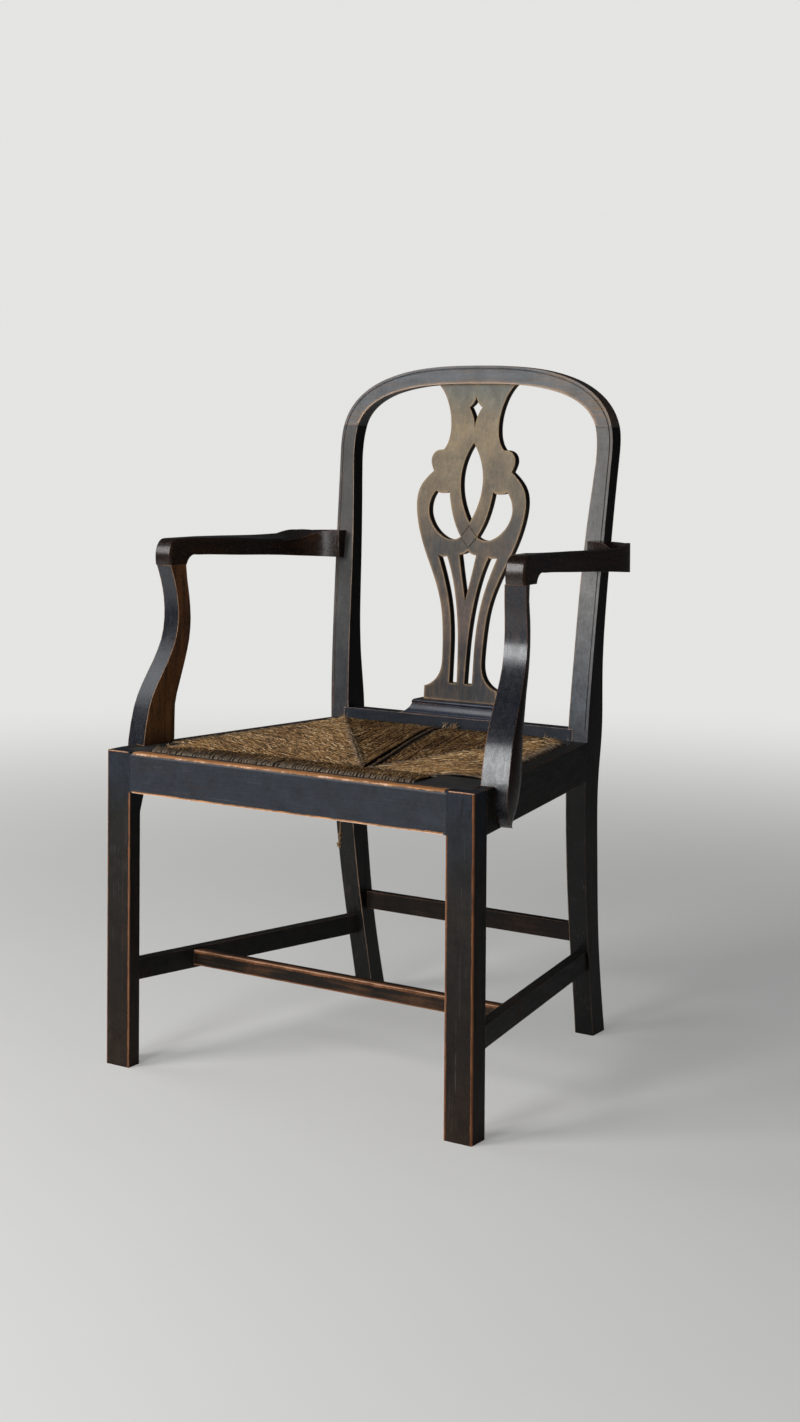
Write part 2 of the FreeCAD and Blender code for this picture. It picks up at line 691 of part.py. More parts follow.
# Right arm: its plan, its side view and the twisting top, worked from one squared block. The plan is
# drawn between the knuckle on the support and the face of the post, and stretches with them.
ARM_OUTER = ((298, 100), (298, 118), (296, 150), (289, 246), (288, 331), (290, 396), (287.5, 422), (275, 442),
             (256, 452), (234, 456.5), (212, 457.5))
ARM_INNER = ((269, 100), (269, 118), (267.5, 150), (264, 246), (264.5, 331), (264.5, 396), (259, 416), (247, 430),
             (231, 437.5), (212, 440))
ARM_UNDER = ((165, 12.5), (205, 10.8), (246, 8.3), (331, 4), (414, -1.5), (470, -4))
ARM_TWIST = ((128, 1.5, 1.5), (190, 0.2, -1.5), (246, -0.5, -3.5), (331, -1.5, -9.5), (392, -2, -13))
ARM_TURN = ((281, 428, 262, 410, -1.5, -12), (266, 446, 252, 425, -1, -6.5), (243, 454, 238, 434, 0, -1.5),
            (215, 457.5, 214, 440, 1.2, 1.2))
ARM_TOP = ARM_JOINT + num("arm_thick")
SCREW_Z = ARM_JOINT + num("arm_thick") / 2
ARM_FRONT = SUPPORT_FRONT + num("knuckle_front")
ARM_END = along(POST_FRONT, SCREW_Z) + num("arm_scribe")


def arm_share(y):
    """Share of the way from the knuckle to the post."""
    return (y - ARM_OUTER[0][1]) / (ARM_OUTER[-1][1] - ARM_OUTER[0][1])


def arm_y(y):
    """Real depth of a drawn point of the arm."""
    return ARM_FRONT + arm_share(y) * (ARM_END - ARM_FRONT)


def arm_x(x, y):
    """Real distance from the centre line of a drawn point of the arm."""
    at_front = HALF_FRONT + ARM_OUT - ARM_OUTER[0][0]
    at_back = post_outer(SCREW_Z) - num("arm_tuck") - ARM_OUTER[-1][0]
    return x + at_front * (1 - arm_share(y)) + at_back * arm_share(y)


def plan_wire(first, second, z):
    """A closed plan between two smooth lines that run the same way."""
    a = [Vec(arm_x(x, y), arm_y(y), z) for x, y in first]
    b = [Vec(arm_x(x, y), arm_y(y), z) for x, y in reversed(second)]
    return Part.Wire([smooth(a).toShape(), line(a[-1], b[0]), smooth(b).toShape(), line(b[-1], a[0])])


arm_plan = prism(plan_wire(ARM_OUTER, ARM_INNER, ARM_JOINT - 16), Vec(0, 0, 2 * num("arm_thick")))
under = [yz(arm_y(y), ARM_JOINT + up) for y, up in ARM_UNDER]
nose = (yz(arm_y(108), ARM_JOINT), yz(arm_y(107), ARM_TOP - 21), yz(arm_y(111.5), ARM_TOP - 7),
        yz(arm_y(127), ARM_TOP))
tail_top = yz(arm_y(470), ARM_TOP + 0.6)
heel = yz(arm_y(142), ARM_JOINT)
arm_side_wire = chain((
    nose,
    (nose[-1], tail_top),
    (tail_top, under[-1]),
    tuple(reversed(under)),
    (under[0], yz(arm_y(149), ARM_JOINT + 10), heel),
    (heel, nose[0]),
))
arm = arm_plan.common(prism(arm_side_wire, Vec(FAR, 0, 0)))


def twist_section(xo, yo, xi, yi, out_z, in_z):
    """A flat-topped section whose lower side is the top of the arm there."""
    a = Vec(arm_x(xo, yo), arm_y(yo), ARM_TOP + out_z)
    b = Vec(arm_x(xi, yi), arm_y(yi), ARM_TOP + in_z)
    step = (a - b) * 0.4
    a = a + step
    b = b - step
    return Part.makePolygon([a, Vec(a.x, a.y, ARM_TOP + 12), Vec(b.x, b.y, ARM_TOP + 12), b, a])


rows = [(292, y, 266, y, zo, zi) for y, zo, zi in ARM_TWIST]
rows += list(ARM_TURN)
cutter = Part.makeLoft([twist_section(*row) for row in rows], True, True)
arm = arm.cut(cutter)

long_edges = [e for e in arm.Edges if e.Length > 60 and e.BoundBox.ZMin > ARM_TOP - 16]
arm = arm.makeChamfer(num("arm_chamfer"), long_edges)
arm = arm.cut(flip(post_blank)).cut(dowel(GAP))
arm = max(arm.Solids, key=lambda s: s.Volume)


SIDES = 8


def ring_at(centre, way, radius):
    """A ring of flats square to a direction."""
    turn = FreeCAD.Rotation(Vec(0, 0, 1), way)
    pts = []
    for i in range(SIDES):
        angle = 2 * math.pi * i / SIDES
        pts.append(centre + turn.multVec(Vec(radius * math.cos(angle), radius * math.sin(angle), 0)))
    return Part.makePolygon(pts + pts[:1])


def screw(base, aim, shank, head, long, grow):
    """A countersunk wood screw with few flats, its head at the base, or its hole when grown."""
    levels = ((-num("screw_cap"), head), (0, head), ((head - shank) / 2, shank), (long + grow, shank))
    rings = [ring_at(base + aim * at, aim, across / 2 + grow) for at, across in levels]
    return Part.makeLoft(rings, True, True)


SHANK = num("screw_shank")
HEAD = num("screw_head")
ARM_SCREW = Vec(post_outer(SCREW_Z) - 6.7, along(POST_BACK, SCREW_Z) - 1.6, SCREW_Z)
FOOT_SCREWS = ((31, 34), (44, 30))
SLANT = ((half_front - seat_half_back) / (back_face - cell("leg_depth"))).value


def foot_screw(back, down):
    """Where a foot screw starts inside the right side rail and where it points."""
    y = SUPPORT_FRONT + back
    x = side_x(size(THICK), y).value
    return Vec(x + num("screw_cap"), y, RAIL_TOP - down), Vec(1, SLANT, 0).normalize()


def driven(grow):
    """All screws of the right side, or their holes."""
    made = [screw(ARM_SCREW, Vec(0, -1, 0), SHANK, HEAD, num("arm_screw_long"), grow)]
    for back, down in FOOT_SCREWS:
        base, aim = foot_screw(back, down)
        made.append(screw(base, aim, SHANK, HEAD, num("foot_screw_long"), grow))
    return made


HOLE = num("screw_play")
arm_hole, *foot_holes = driven(HOLE)
sink_rings = [ring_at(ARM_SCREW + Vec(0, back, 0), Vec(0, -1, 0), HEAD / 2 + HOLE) for back in (0, 20)]
sink = Part.makeLoft(sink_rings, True, True)
arm = arm.cut(arm_hole)
post = post.cut(flip(arm_hole.fuse(sink)))
for hole in foot_holes:
    support = support.cut(hole)

# Mortises of the posts, and the flat seats of the side rails on them.
flat = block(-FAR, 0, 0, RAIL_FRONT, LOW, RAIL_TOP)
post = post.cut(flat).cut(back_rail_tenon(GAP)).cut(side_rail_mortise())
post = post.cut(side_stretcher_tenon(True, GAP)).cut(back_stretcher_tenon(GAP))
post = post.fuse(top_tenon(0)).removeSplitter()

# Crest rail: an arch sawn from a leaning board.
BOARD_TOP = CREST_TOP + 1
rising = POST_FRONT[-1][1] + num("splat_lean") * (CREST_TOP - JOINT)
board = [yz(POST_FRONT[-1][1], JOINT, -FAR / 2), yz(rising, BOARD_TOP, -FAR / 2),
         yz(rising + num("crest_thick_top"), BOARD_TOP, -FAR / 2),
         yz(POST_BACK[-1][1], JOINT, -FAR / 2)]
crest_board = prism(Part.makePolygon(board + board[:1]), Vec(FAR, 0, 0))


def arch_face(inset_out, inner_points):
    """The region between the outer arch and an inner arch, as a deep prism."""
    outer = [xz(x, z) for x, z in outer_arch(JOINT, inset_out, 12)]
    outer += [xz(-p.x, p.z) for p in reversed(outer[:-1])]
    inside = [xz(x, z) for x, z in inner_points]
    inside += [xz(-p.x, p.z) for p in reversed(inside[:-1])]
    inside.reverse()
    wire = chain((outer, (outer[-1], inside[0]), inside, (inside[-1], outer[0])))
    return prism(wire, Vec(0, FAR, 0))


crest = crest_board.common(arch_face(0, inner_arch(JOINT, 12)))
groove_line = arch_face(num("bead_width"), outer_arch(JOINT, num("bead_width") + num("bead_groove"), 12))
front_skin = crest_board.cut(crest_board.translated(Vec(0, num("bead_groove"), 0)))
crest = crest.cut(front_skin.common(groove_line))
crest = crest.cut(top_tenon(GAP)).cut(flip(top_tenon(GAP)))

# Splat: a leaning slab with its outline and openings, drawn for the right half. Rows of distance from
# the centre line and height stretch with its half width and between the shoe and the crest.
SPLAT_EDGE = (
    ((67.5, 937), (53, 919), (43.3, 893), (41, 868), (45.3, 848), (52, 838.3)),
    ((52, 838.3), (61, 837.3), (68.8, 832), (71.9, 823.4), (69.8, 813), (66.8, 806.6)),
    ((66.8, 806.6), (78.3, 796.4), (89, 782), (93.5, 763), (92, 742), (76.3, 692), (54, 645), (40.5, 605),
     (35.4, 567), (33.8, 535), (38, 507), (47, 496), (62, 488.5)),
    ((62, 488.5), (62, 469)),
)
DIAMOND = (((0, 917.7), (4.5, 907.5), (11, 901.7)), ((11, 901.7), (4, 889), (0, 870.9)))
ALMOND = (((0, 849), (12, 827), (18.8, 796.5), (13.5, 760), (0, 731)),)
VEE = (((0, 690), (6, 685.5), (14.5, 683.5)), ((14.5, 683.5), (6.5, 645), (0, 615)))
LOBE = (
    ((37.5, 777), (49, 773.5), (61, 777.5)),
    ((61, 777.5), (69, 764), (71.5, 750), (65.5, 730), (49, 712.5), (31, 705.5), (14, 710)),
    ((14, 710), (24.5, 729), (32, 750), (37.5, 777)),
)
SLOT = (
    ((35.5, 681), (43, 679.5), (51.3, 683)),
    ((51.3, 683), (38.5, 651), (29, 620), (22.8, 586), (20, 546), (19.5, 495)),
    ((19.5, 495), (6.5, 495)),
    ((6.5, 495), (8.5, 555), (14, 606), (22.5, 645), (35.5, 681)),
)
STRAP = ((0, 727), (15, 710), (0, 693))
HIDDEN = 0.5


def splat_point(side, x, z):
    """Real point of a drawn one of the splat."""
    foot = SPLAT_EDGE[-1][-1][1]
    share = (z - foot) / (SPLAT_EDGE[0][0][1] - foot)
    drawn_half = max(across for across, _ in SPLAT_EDGE[2])
    return xz(side * x * num("splat_half") / drawn_half, SHOE_TOP + share * (CREST_UNDER + HIDDEN - SHOE_TOP))


def half_edges(rows, side, point):
    """Edges of a half outline on one side of the centre line, its points placed by a function."""
    made = []
    for row in rows:
        made += edges_through(point(side, x, z) for x, z in row)
    return made


def whole_wire(rows, point):
    """The wire of an outline that crosses the centre line, with its open ends joined."""
    first, last = rows[0][0], rows[-1][-1]
    edges = half_edges(rows, 1, point) + half_edges(rows, -1, point)
    for x, z in (first, last):
        if x > 0:
            edges.append(line(point(-1, x, z), point(1, x, z)))
    return Part.Wire(Part.__sortEdges__(edges))


def through(wire):
    """A wire as a prism right through the slab."""
    return prism(wire, Vec(0, FAR, 0))


def splat_y(z):
    """Depth of the front of the splat at a height."""
    return RAIL_FRONT + num("splat_inset") + num("splat_lean") * (z - SHOE_TOP)


def leaning(front, back, low, high):
    """A leaning slab between two offsets from the front of the splat."""
    half = num("splat_half") + 50
    pts = [yz(splat_y(low) + front, low, -half), yz(splat_y(high) + front, high, -half),
           yz(splat_y(high) + back, high, -half), yz(splat_y(low) + back, low, -half)]
    return prism(Part.makePolygon(pts + pts[:1]), Vec(2 * half, 0, 0))


SPLAT_T = num("splat_thick")
TONGUE = num("tongue_long")
CUT = num("strap_cut")
splat = leaning(0, SPLAT_T, SHOE_TOP - 9, CREST_UNDER + 9).common(through(whole_wire(SPLAT_EDGE, splat_point)))
for rows in (DIAMOND, ALMOND, VEE):
    splat = splat.cut(through(whole_wire(rows, splat_point)))
for rows in (LOBE, SLOT):
    for side in (1, -1):
        splat = splat.cut(through(Part.Wire(half_edges(rows, side, splat_point))))
strap = [splat_point(1, x, z) for x, z in STRAP] + [splat_point(-1, *STRAP[1])]
middle_z = strap[1].z
inside = [xz(p.x * (1 - CUT / 8), middle_z + (p.z - middle_z) * (1 - CUT / 8)) for p in strap]
ring = through(Part.makePolygon(strap + strap[:1])).cut(through(Part.makePolygon(inside + inside[:1])))
splat = splat.cut(ring.common(leaning(0, CUT, strap[2].z - 10, strap[0].z + 10)))
splat = splat.cut(crest)


def tongue(low, high, share, grow):
    """A thinner tongue at the top or foot of the splat, as wide as a share of it."""
    half = num("splat_half") * share + grow
    skin_off = SPLAT_T / 4 - grow
    return leaning(skin_off, SPLAT_T - skin_off, low, high).common(block(-half, half, 0, FAR, 0, FAR))


top_tongue = (CREST_UNDER - 4, CREST_UNDER + TONGUE, 0.64)
foot_tongue = (SHOE_TOP - TONGUE, SHOE_TOP + 4, 0.59)
splat = splat.fuse(tongue(*top_tongue, 0)).fuse(tongue(*foot_tongue, 0)).removeSplitter()
crest = crest.cut(tongue(*top_tongue, GAP)).removeSplitter()

# Splat shoe: a moulding with a bead on top, a hollow below it and swept ends. Its levels are shares
# of its height.
SHOE_FRONT = RAIL_FRONT + 0.5
HALF_TOP = num("shoe_half_top")
HALF_BASE = num("shoe_half_base")


def shoe_z(share):
    """Height of a level of the shoe."""
    return BACK_TOP + num("shoe_height") * share


def shoe_side(out, share):
    """A point of the section of the shoe, out from its front."""
    return yz(SHOE_FRONT + out, shoe_z(share), -HALF_BASE - 20)


top_back = yz(RAIL_BACK + 8, SHOE_TOP, -HALF_BASE - 20)
low_back = yz(RAIL_BACK, BACK_TOP, -HALF_BASE - 20)
profile = chain((
    (shoe_side(0, 0), shoe_side(0, 0.14)),
    (shoe_side(0, 0.14), shoe_side(2.6, 0.32), shoe_side(5, 0.73)),
    (shoe_side(5, 0.73), shoe_side(3.2, 0.86), shoe_side(5.5, 1)),
    (shoe_side(5.5, 1), top_back),
    (top_back, low_back),
    (low_back, shoe_side(0, 0)),
))
SHOE_END = (
    ((HALF_BASE, 0), (HALF_BASE - 13, 0.27), (HALF_TOP + 7, 0.73)),
    ((HALF_TOP + 7, 0.73), (HALF_TOP + 5.5, 0.91), (HALF_TOP, 1)),
)
shoe = prism(profile, Vec(2 * HALF_BASE + 40, 0, 0))
shoe = shoe.common(through(whole_wire(SHOE_END, lambda side, x, share: xz(side * x, shoe_z(share)))))
shoe = shoe.cut(tongue(*foot_tongue, GAP))

# Drop-in seat frame: four rails tenoned into four corner blocks.
edge = cell("lip_width") + cell("seat_gap")
seat_end = back_face - cell("seat_gap")
block_end = edge + cell("block_deep")
block_start = seat_end - cell("back_block")
seat_low = ledge + cell("seat_rail_lift")
seat_high = seat_low + cell("seat_rail_thick")
peg = cell("seat_tenon_long")
inset = cell("seat_rail_inset")
wide = cell("seat_rail_wide")
shy = cell("seat_shoulder")
block_long = {1: cell("block_long_right"), -1: cell("block_long_left")}


def seat_x(y, inward=0.0):
    """Half width of the drop-in seat at a depth, moved in."""
    return side_x(edge + inward, y)


def sided(side, points):
    """Points of a plan on the right or the left side."""
    return tuple((x if side > 0 else -size(x), y) for x, y in points)


def front_rail_plan(reach, narrow, grow):
    """Plan of the front rail of the seat, or of its tenons, made larger on every side."""
    x0 = -(seat_x(edge) - block_long[-1]) - reach - grow
    x1 = seat_x(edge) - block_long[1] + reach + grow
    return box_points(x0, edge + inset + narrow - grow, x1, edge + inset + wide - narrow + grow)


def side_rail_plan(side, in0, in1, y0, y1, grow):
    """Plan of a side rail of the seat between two lines, or of its tenons."""
    y0 = y0 - grow
    y1 = y1 + grow
    return sided(side, ((seat_x(y0, in0 - grow), y0), (seat_x(y0, in1 + grow), y0),
                        (seat_x(y1, in1 + grow), y1), (seat_x(y1, in0 - grow), y1)))


def back_rail_plan(grow):
    """Plan of the back rail of the seat, cut back where the side rails pass its ends."""
    y0 = seat_end - inset - wide - grow
    y1 = seat_end - inset + grow
    half = seat_x(seat_end) - cell("back_block") + grow
    inner = inset + wide + grow
    right = ((seat_x(y0, inner), y0), (seat_x(block_start, inner), block_start), (half, block_start), (half, y1))
    return right + tuple((-x, y) for x, y in reversed(right))


def back_tenon_plan(grow):
    """Plan of the tenons of the back rail of the seat."""
    half = seat_x(seat_end) - cell("back_block") + peg + grow
    return box_points(-half, block_start + peg + 1 - grow, half, seat_end - inset - 3 + grow)


def block_plan(side, at_back, grow, out):
    """Plan of a corner block, larger by grow toward the weave and by out toward the edge of the seat."""
    if at_back:
        y0, y1 = block_start - grow, seat_end + out
        inner = seat_x(seat_end) - cell("back_block") - grow
    else:
        y0, y1 = edge - out, block_end + grow
        inner = seat_x(edge) - block_long[side] - grow
    return sided(side, ((inner, y0), (seat_x(y0) + out, y0), (seat_x(y1) + out, y1), (inner, y1)))


def space(low, high, points):
    """A plain prism over a plan."""
    pts = [Vec(size(x).value, size(y).value, size(low).value) for x, y in points]
    return prism(Part.makePolygon(pts + pts[:1]), Vec(0, 0, (size(high) - low).value))


def tenon_in(side):
    """Plan of the tenons of a side rail of the seat, for a clearance."""
    return lambda grow: side_rail_plan(side, inset + 6, inset + 17, block_end - peg, block_start + peg, grow)


seat_pieces = []
frame_front = new_body("seat_frame_front")
pad(frame_front, "front_bar", seat_low, seat_high, front_rail_plan(size(0), size(0), size(0)))
pad(frame_front, "front_pegs", seat_low + shy, seat_high - shy, front_rail_plan(peg, size(8), size(0)))
frame_back = new_body("seat_frame_back")
pad(frame_back, "back_bar", seat_low, seat_high, back_rail_plan(size(0)))
pad(frame_back, "back_pegs", seat_low + shy, seat_high - shy, back_tenon_plan(size(0)))
seat_pieces += [frame_front, frame_back]
for side, name in ((1, "right"), (-1, "left")):
    frame_side = new_body("seat_frame_" + name)
    pad(frame_side, "bar_" + name, seat_low, seat_high,
        side_rail_plan(side, inset, inset + wide, block_end, block_start, size(0)))
    pad(frame_side, "pegs_" + name, seat_low + shy, seat_high - shy, tenon_in(side)(size(0)))
    seat_pieces.append(frame_side)
    for at_back, where, crossing in ((False, "front", lambda grow: front_rail_plan(peg, size(8), grow)),
                                     (True, "back", back_tenon_plan)):
        corner = new_body(f"seat_block_{where}_{name}")
        pad(corner, f"blank_{where}_{name}", ledge, cell("rail_top"), block_plan(side, at_back, size(0), size(0)))
        for index, plan in enumerate((crossing, tenon_in(side))):
            pocket(corner, f"mortise_{where}_{name}_{index}", seat_low + shy - gap, seat_high - shy + gap, plan(gap))
        seat_pieces.append(corner)

# The rush: height over the share of the way from the edge of the seat to its middle.
CLEAR = num("rush_clear")
EDGE = edge.value
SEAT_END = seat_end.value
MIDDLE = (EDGE + SEAT_END) / 2 - num("rush_centre")
CROWN = RAIL_TOP + num("rush_crown")
DIP = CROWN - num("rush_dip")
UNDER = LEDGE + num("rush_under")
BELLY = DIP - num("rush_belly")
RUSH_TOP = ((0.015, UNDER + 3), (0.0, UNDER + 9), (0.0, UNDER + 15), (0.012, CROWN - 6), (0.035, CROWN - 2.5),
            (0.07, CROWN - 0.6), (0.12, CROWN), (0.2, CROWN - 1.2), (0.35, CROWN - 4.6), (0.55, CROWN - 10),
            (0.8, CROWN - 18), (1.02, DIP))


def rush_profile(point):
    """The section of the rush from the edge to the middle, placed by a function of share and height."""
    top = [point(t, z) for t, z in RUSH_TOP]
    corners = top + [point(1.02, BELLY), point(0.4, UNDER), point(0.04, UNDER)]
    return Part.makePolygon(corners + corners[:1])


def quarter(corners):
    """A tall prism over one quarter of the seat."""
    return space(BELLY - 20, CROWN + 20, corners)


XC = seat_x(edge).value
XB = seat_x(seat_end).value
ACROSS = Vec(2 * XC + 40, 0, 0)
S = CLEAR
front_rush = prism(rush_profile(lambda t, z: Vec(-XC - 20, EDGE + t * (MIDDLE - EDGE), z)), ACROSS)
front_rush = front_rush.common(quarter(((-XC + S, EDGE - 5), (-XC + S, EDGE), (0, MIDDLE - S), (XC - S, EDGE),
                                        (XC - S, EDGE - 5))))
back_rush = prism(rush_profile(lambda t, z: Vec(-XC - 20, SEAT_END - t * (SEAT_END - MIDDLE), z)), ACROSS)
back_rush = back_rush.common(quarter(((-XB + S, SEAT_END + 5), (-XB + S, SEAT_END), (0, MIDDLE + S),
                                      (XB - S, SEAT_END), (XB - S, SEAT_END + 5))))
slant = Vec(XB - XC, SEAT_END - EDGE, 0)
reach = seat_x(MIDDLE).value
side_rush = prism(rush_profile(lambda t, z: Vec(XC - t * reach, EDGE, z)), slant)
side_rush = side_rush.common(quarter(((XC + 5, EDGE + S), (XC, EDGE + S), (S, MIDDLE), (XB, SEAT_END - S),
                                      (XB + 5, SEAT_END - S))))
rushes = {"front": front_rush, "back": back_rush, "right": side_rush, "left": flip(side_rush)}
keep_off = size(CLEAR)
low, high = seat_low - keep_off, seat_high + keep_off
wood = [space(low, high, front_rail_plan(size(0), size(0), keep_off)), space(low, high, back_rail_plan(keep_off))]
for side in (1, -1):
    wood.append(space(low, high, side_rail_plan(side, inset, inset + wide, block_end, block_start, keep_off)))
    for at_back in (False, True):
        plan = block_plan(side, at_back, keep_off, size(5))
        wood.append(space(ledge - 20, cell("rail_top") + 10, plan))
for name in rushes:
    for piece in wood:
        rushes[name] = rushes[name].cut(piece)
    rushes[name] = max(rushes[name].Solids, key=lambda s: s.Volume)

# The broken rush end that hangs inside the back left corner of the seat, with its knots. The route is
# given in from that corner, forward from it, and as a share of the way down.
TAIL = num("tail_size") / 2
drop = num("tail_long")
tail_z = UNDER - CLEAR
TAIL_ROUTE = ((22, 39, 0), (21.5, 38, 0.16), (18.5, 34, 0.36), (16.5, 29, 0.58), (17.5, 26.5, 0.8), (14, 26, 1.0))
route = [Vec(x - XB, SEAT_END - y, tail_z - drop * share) for x, y, share in TAIL_ROUTE]


def cord_path(points):
    """Straight runs joined by tangent arcs, each as large as its two runs allow."""
    edges = []
    start = points[0]
    for before, corner, after in zip(points, points[1:], points[2:]):
        into = (corner - before).normalize()
        out = (after - corner).normalize()
        reach = 0.45 * min(before.distanceToPoint(corner), corner.distanceToPoint(after))
        turn = into.getAngle(out)
        radius = reach / math.tan(turn / 2)
        print(f"loose rush end: turn radius {radius:.0f} mm")
        a = corner - into * reach
        b = corner + out * reach
        centre_way = (out - into).normalize()
        middle = corner + centre_way * (radius / math.cos(turn / 2) - radius)
        edges.append(line(start, a))
        edges.append(Part.Arc(a, middle, b).toShape())
        start = b
    edges.append(line(start, points[-1]))
    return Part.Wire(edges)


tail = cord_path(route).makePipeShell([ring_at(route[0], route[1] - route[0], TAIL)], True, False)
knot_way = (route[-1] - route[-2]).normalize()
for back, radius in ((18, 4), (4, 5)):
    middle_point = route[-1] - knot_way * back
    rings = [ring_at(middle_point + knot_way * at, knot_way, size_of)
             for at, size_of in ((-5, 1.2), (-2, radius), (2, radius), (5, 1.2))]
    tail = tail.fuse(Part.makeLoft(rings, True, True))
tail = max(tail.Solids, key=lambda s: s.Volume)

# Front legs: pads and pockets of the sheet.
leg = new_body("front_leg_right")
depth = cell("leg_depth")
top = cell("rail_top")
pad(leg, "leg_blank", 0, top, box_points(leg_in, 0, half_front, depth))
soften(leg, "Fillet", "outer_round", "leg_round", lambda p: abs(p.x - half_front.value) < 0.01 and p.y < 0.01)
bevel = cell("leg_bevel")
stop = top - cell("bevel_stop")


def bevel_corner(width):
    """The corner of the leg that a bevel of a width takes off."""
    return ((leg_in, depth - width), (leg_in + width, depth), (leg_in, depth))


pocket(leg, "inner_bevel", 0, stop, bevel_corner(bevel))
full = outline(leg, "bevel_full", stop, bevel_corner(bevel))
fine = outline(leg, "bevel_fine", stop + cell("bevel_runout"), bevel_corner(bevel / 20))
runout = leg.newObject("PartDesign::SubtractiveLoft", "bevel_run_out")
runout.Profile = full
runout.Sections = [fine]
runout.Ruled = True
doc.recompute()
lip = cell("lip_width")
pocket(leg, "seat_rebate", ledge, top,
       ((leg_in, lip), (side_x(lip, lip), lip), (side_x(lip, depth), depth), (leg_in, depth)))
shoulder = cell("tenon_shoulder")
thick = cell("tenon_thick")
long = cell("tenon_long")
pocket(leg, "front_rail_mortise", rail_low + shoulder - gap, top - shoulder + gap,
       box_points(leg_in, shoulder - gap, leg_in + long + gap, shoulder + thick + gap))
y0 = depth - long - gap
pocket(leg, "side_rail_mortise", rail_low + shoulder - gap, top - shoulder + gap,
       ((side_x(shoulder + thick + gap, y0), y0), (side_x(shoulder - gap, y0), y0),
        (side_x(shoulder - gap, depth), depth), (side_x(shoulder + thick + gap, depth), depth)))
middle = cell("side_str_thick") / 2
half_hole = half_small + gap
low = cell("side_str_top") - cell("side_str_height") + cell("small_shoulder") - gap
high = cell("side_str_top") - cell("small_shoulder") + gap * 3
y0 = depth - cell("small_tenon_long") - gap
pocket(leg, "stretcher_mortise", low, high,
       ((stretcher_x(middle + half_hole, y0), y0), (stretcher_x(middle - half_hole, y0), y0),
        (stretcher_x(middle - half_hole, depth), depth), (stretcher_x(middle + half_hole, depth), depth)))

# Front seat rail.
front = new_body("front_seat_rail")
pad(front, "rail_blank", rail_low, top, box_points(-leg_in, 0, leg_in, lip))
soften(front, "Fillet", "top_round", "lip_round", lambda p: abs(p.z - top.value) < 0.01 and p.y < 0.01)
pad(front, "rail_ledge", rail_low, ledge, box_points(-leg_in, lip, leg_in, cell("rail_thick")))
pad(front, "rail_tenons", rail_low + shoulder, top - shoulder,
    box_points(-leg_in - long, shoulder, leg_in + long, shoulder + thick))


def left_strip(in0, in1, y0, y1):
    """Plan of a strip of the left side rail between two lines and two depths."""
    return ((-side_x(in0, y0), y0), (-side_x(in1, y0), y0), (-side_x(in1, y1), y1), (-side_x(in0, y1), y1))


# Left side seat rail, with the holes of the foot screws.
rail = new_body("side_rail_body")
zero = size(0)
pad(rail, "side_lip", rail_low, top, left_strip(zero, lip, depth, back_face))
pad(rail, "side_ledge", rail_low, ledge, left_strip(lip, cell("rail_thick"), depth, back_face))
pad(rail, "side_tenons", rail_low + shoulder, top - shoulder,
    left_strip(shoulder, shoulder + thick, depth - long, back_face + long))
groove = cell("groove_inset")
pocket(rail, "side_groove", top - cell("groove_size"), top,
       left_strip(groove, groove + cell("groove_size"), depth, back_face))
holes = solid("foot_screw_holes", flip(Part.makeCompound(foot_holes)))
side_rail = doc.addObject("Part::Cut", "side_rail")
side_rail.Base = rail
side_rail.Tool = holes
side_rail.Label = "side_seat_rail_left"

# Corner brace under the front right corner of the seat.
brace = new_body("corner_brace_right")
bs = cell("brace_size")
y0 = cell("rail_thick")
x0 = side_x(cell("rail_thick"), y0)
pad(brace, "brace_blank", ledge - cell("brace_height"), ledge,
    ((x0 - bs, y0), (x0, y0), (side_x(cell("rail_thick"), y0 + bs), y0 + bs)))
doc.recompute()

pieces = [leg, mirror(leg, "front_leg_left"), front, brace, mirror(brace, "corner_brace_left"), cross]
pieces += seat_pieces
post_obj = solid("back_post_left", post)
pieces += [post_obj, mirror(post_obj, "back_post_right")]
pieces += [side_rail, mirror(side_rail, "side_seat_rail_right")]
stretcher_obj = solid("side_stretcher_left", side_stretcher)
pieces += [stretcher_obj, mirror(stretcher_obj, "side_stretcher_right")]
support_obj = solid("arm_support_right", support)
pieces += [support_obj, mirror(support_obj, "arm_support_left")]
arm_obj = solid("arm_right", arm)
pieces += [arm_obj, mirror(arm_obj, "arm_left")]
for label, shape in (
    ("back_seat_rail", back_rail), ("back_stretcher", back_stretcher),
    ("crest_rail", crest), ("splat", splat), ("splat_shoe", shoe),
    ("rush_front", rushes["front"]), ("rush_back", rushes["back"]),
    ("rush_right", rushes["right"]), ("rush_left", rushes["left"]), ("loose_rush_end", tail),
):
    pieces.append(solid(label, shape))
arm_screw, *foot_screws = driven(0)
pieces.append(solid("arm_screws", Part.makeCompound([arm_screw, flip(arm_screw)])))
pieces.append(solid("foot_screws", Part.makeCompound(foot_screws + [flip(s) for s in foot_screws])))
doc.recompute()

os.makedirs("parts", exist_ok=True)
for obj in pieces:
    bad = "Invalid" in obj.State or "Error" in obj.State
    if bad or obj.Shape.isNull() or not obj.Shape.isValid():
        raise RuntimeError(f"{obj.Label} is not a valid shape")
    obj.Shape.exportStep(f"parts/{obj.Label}.step")
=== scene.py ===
"""Looks of an old open armchair: worn dark paint, polished arms and a rush seat of twisted strands."""

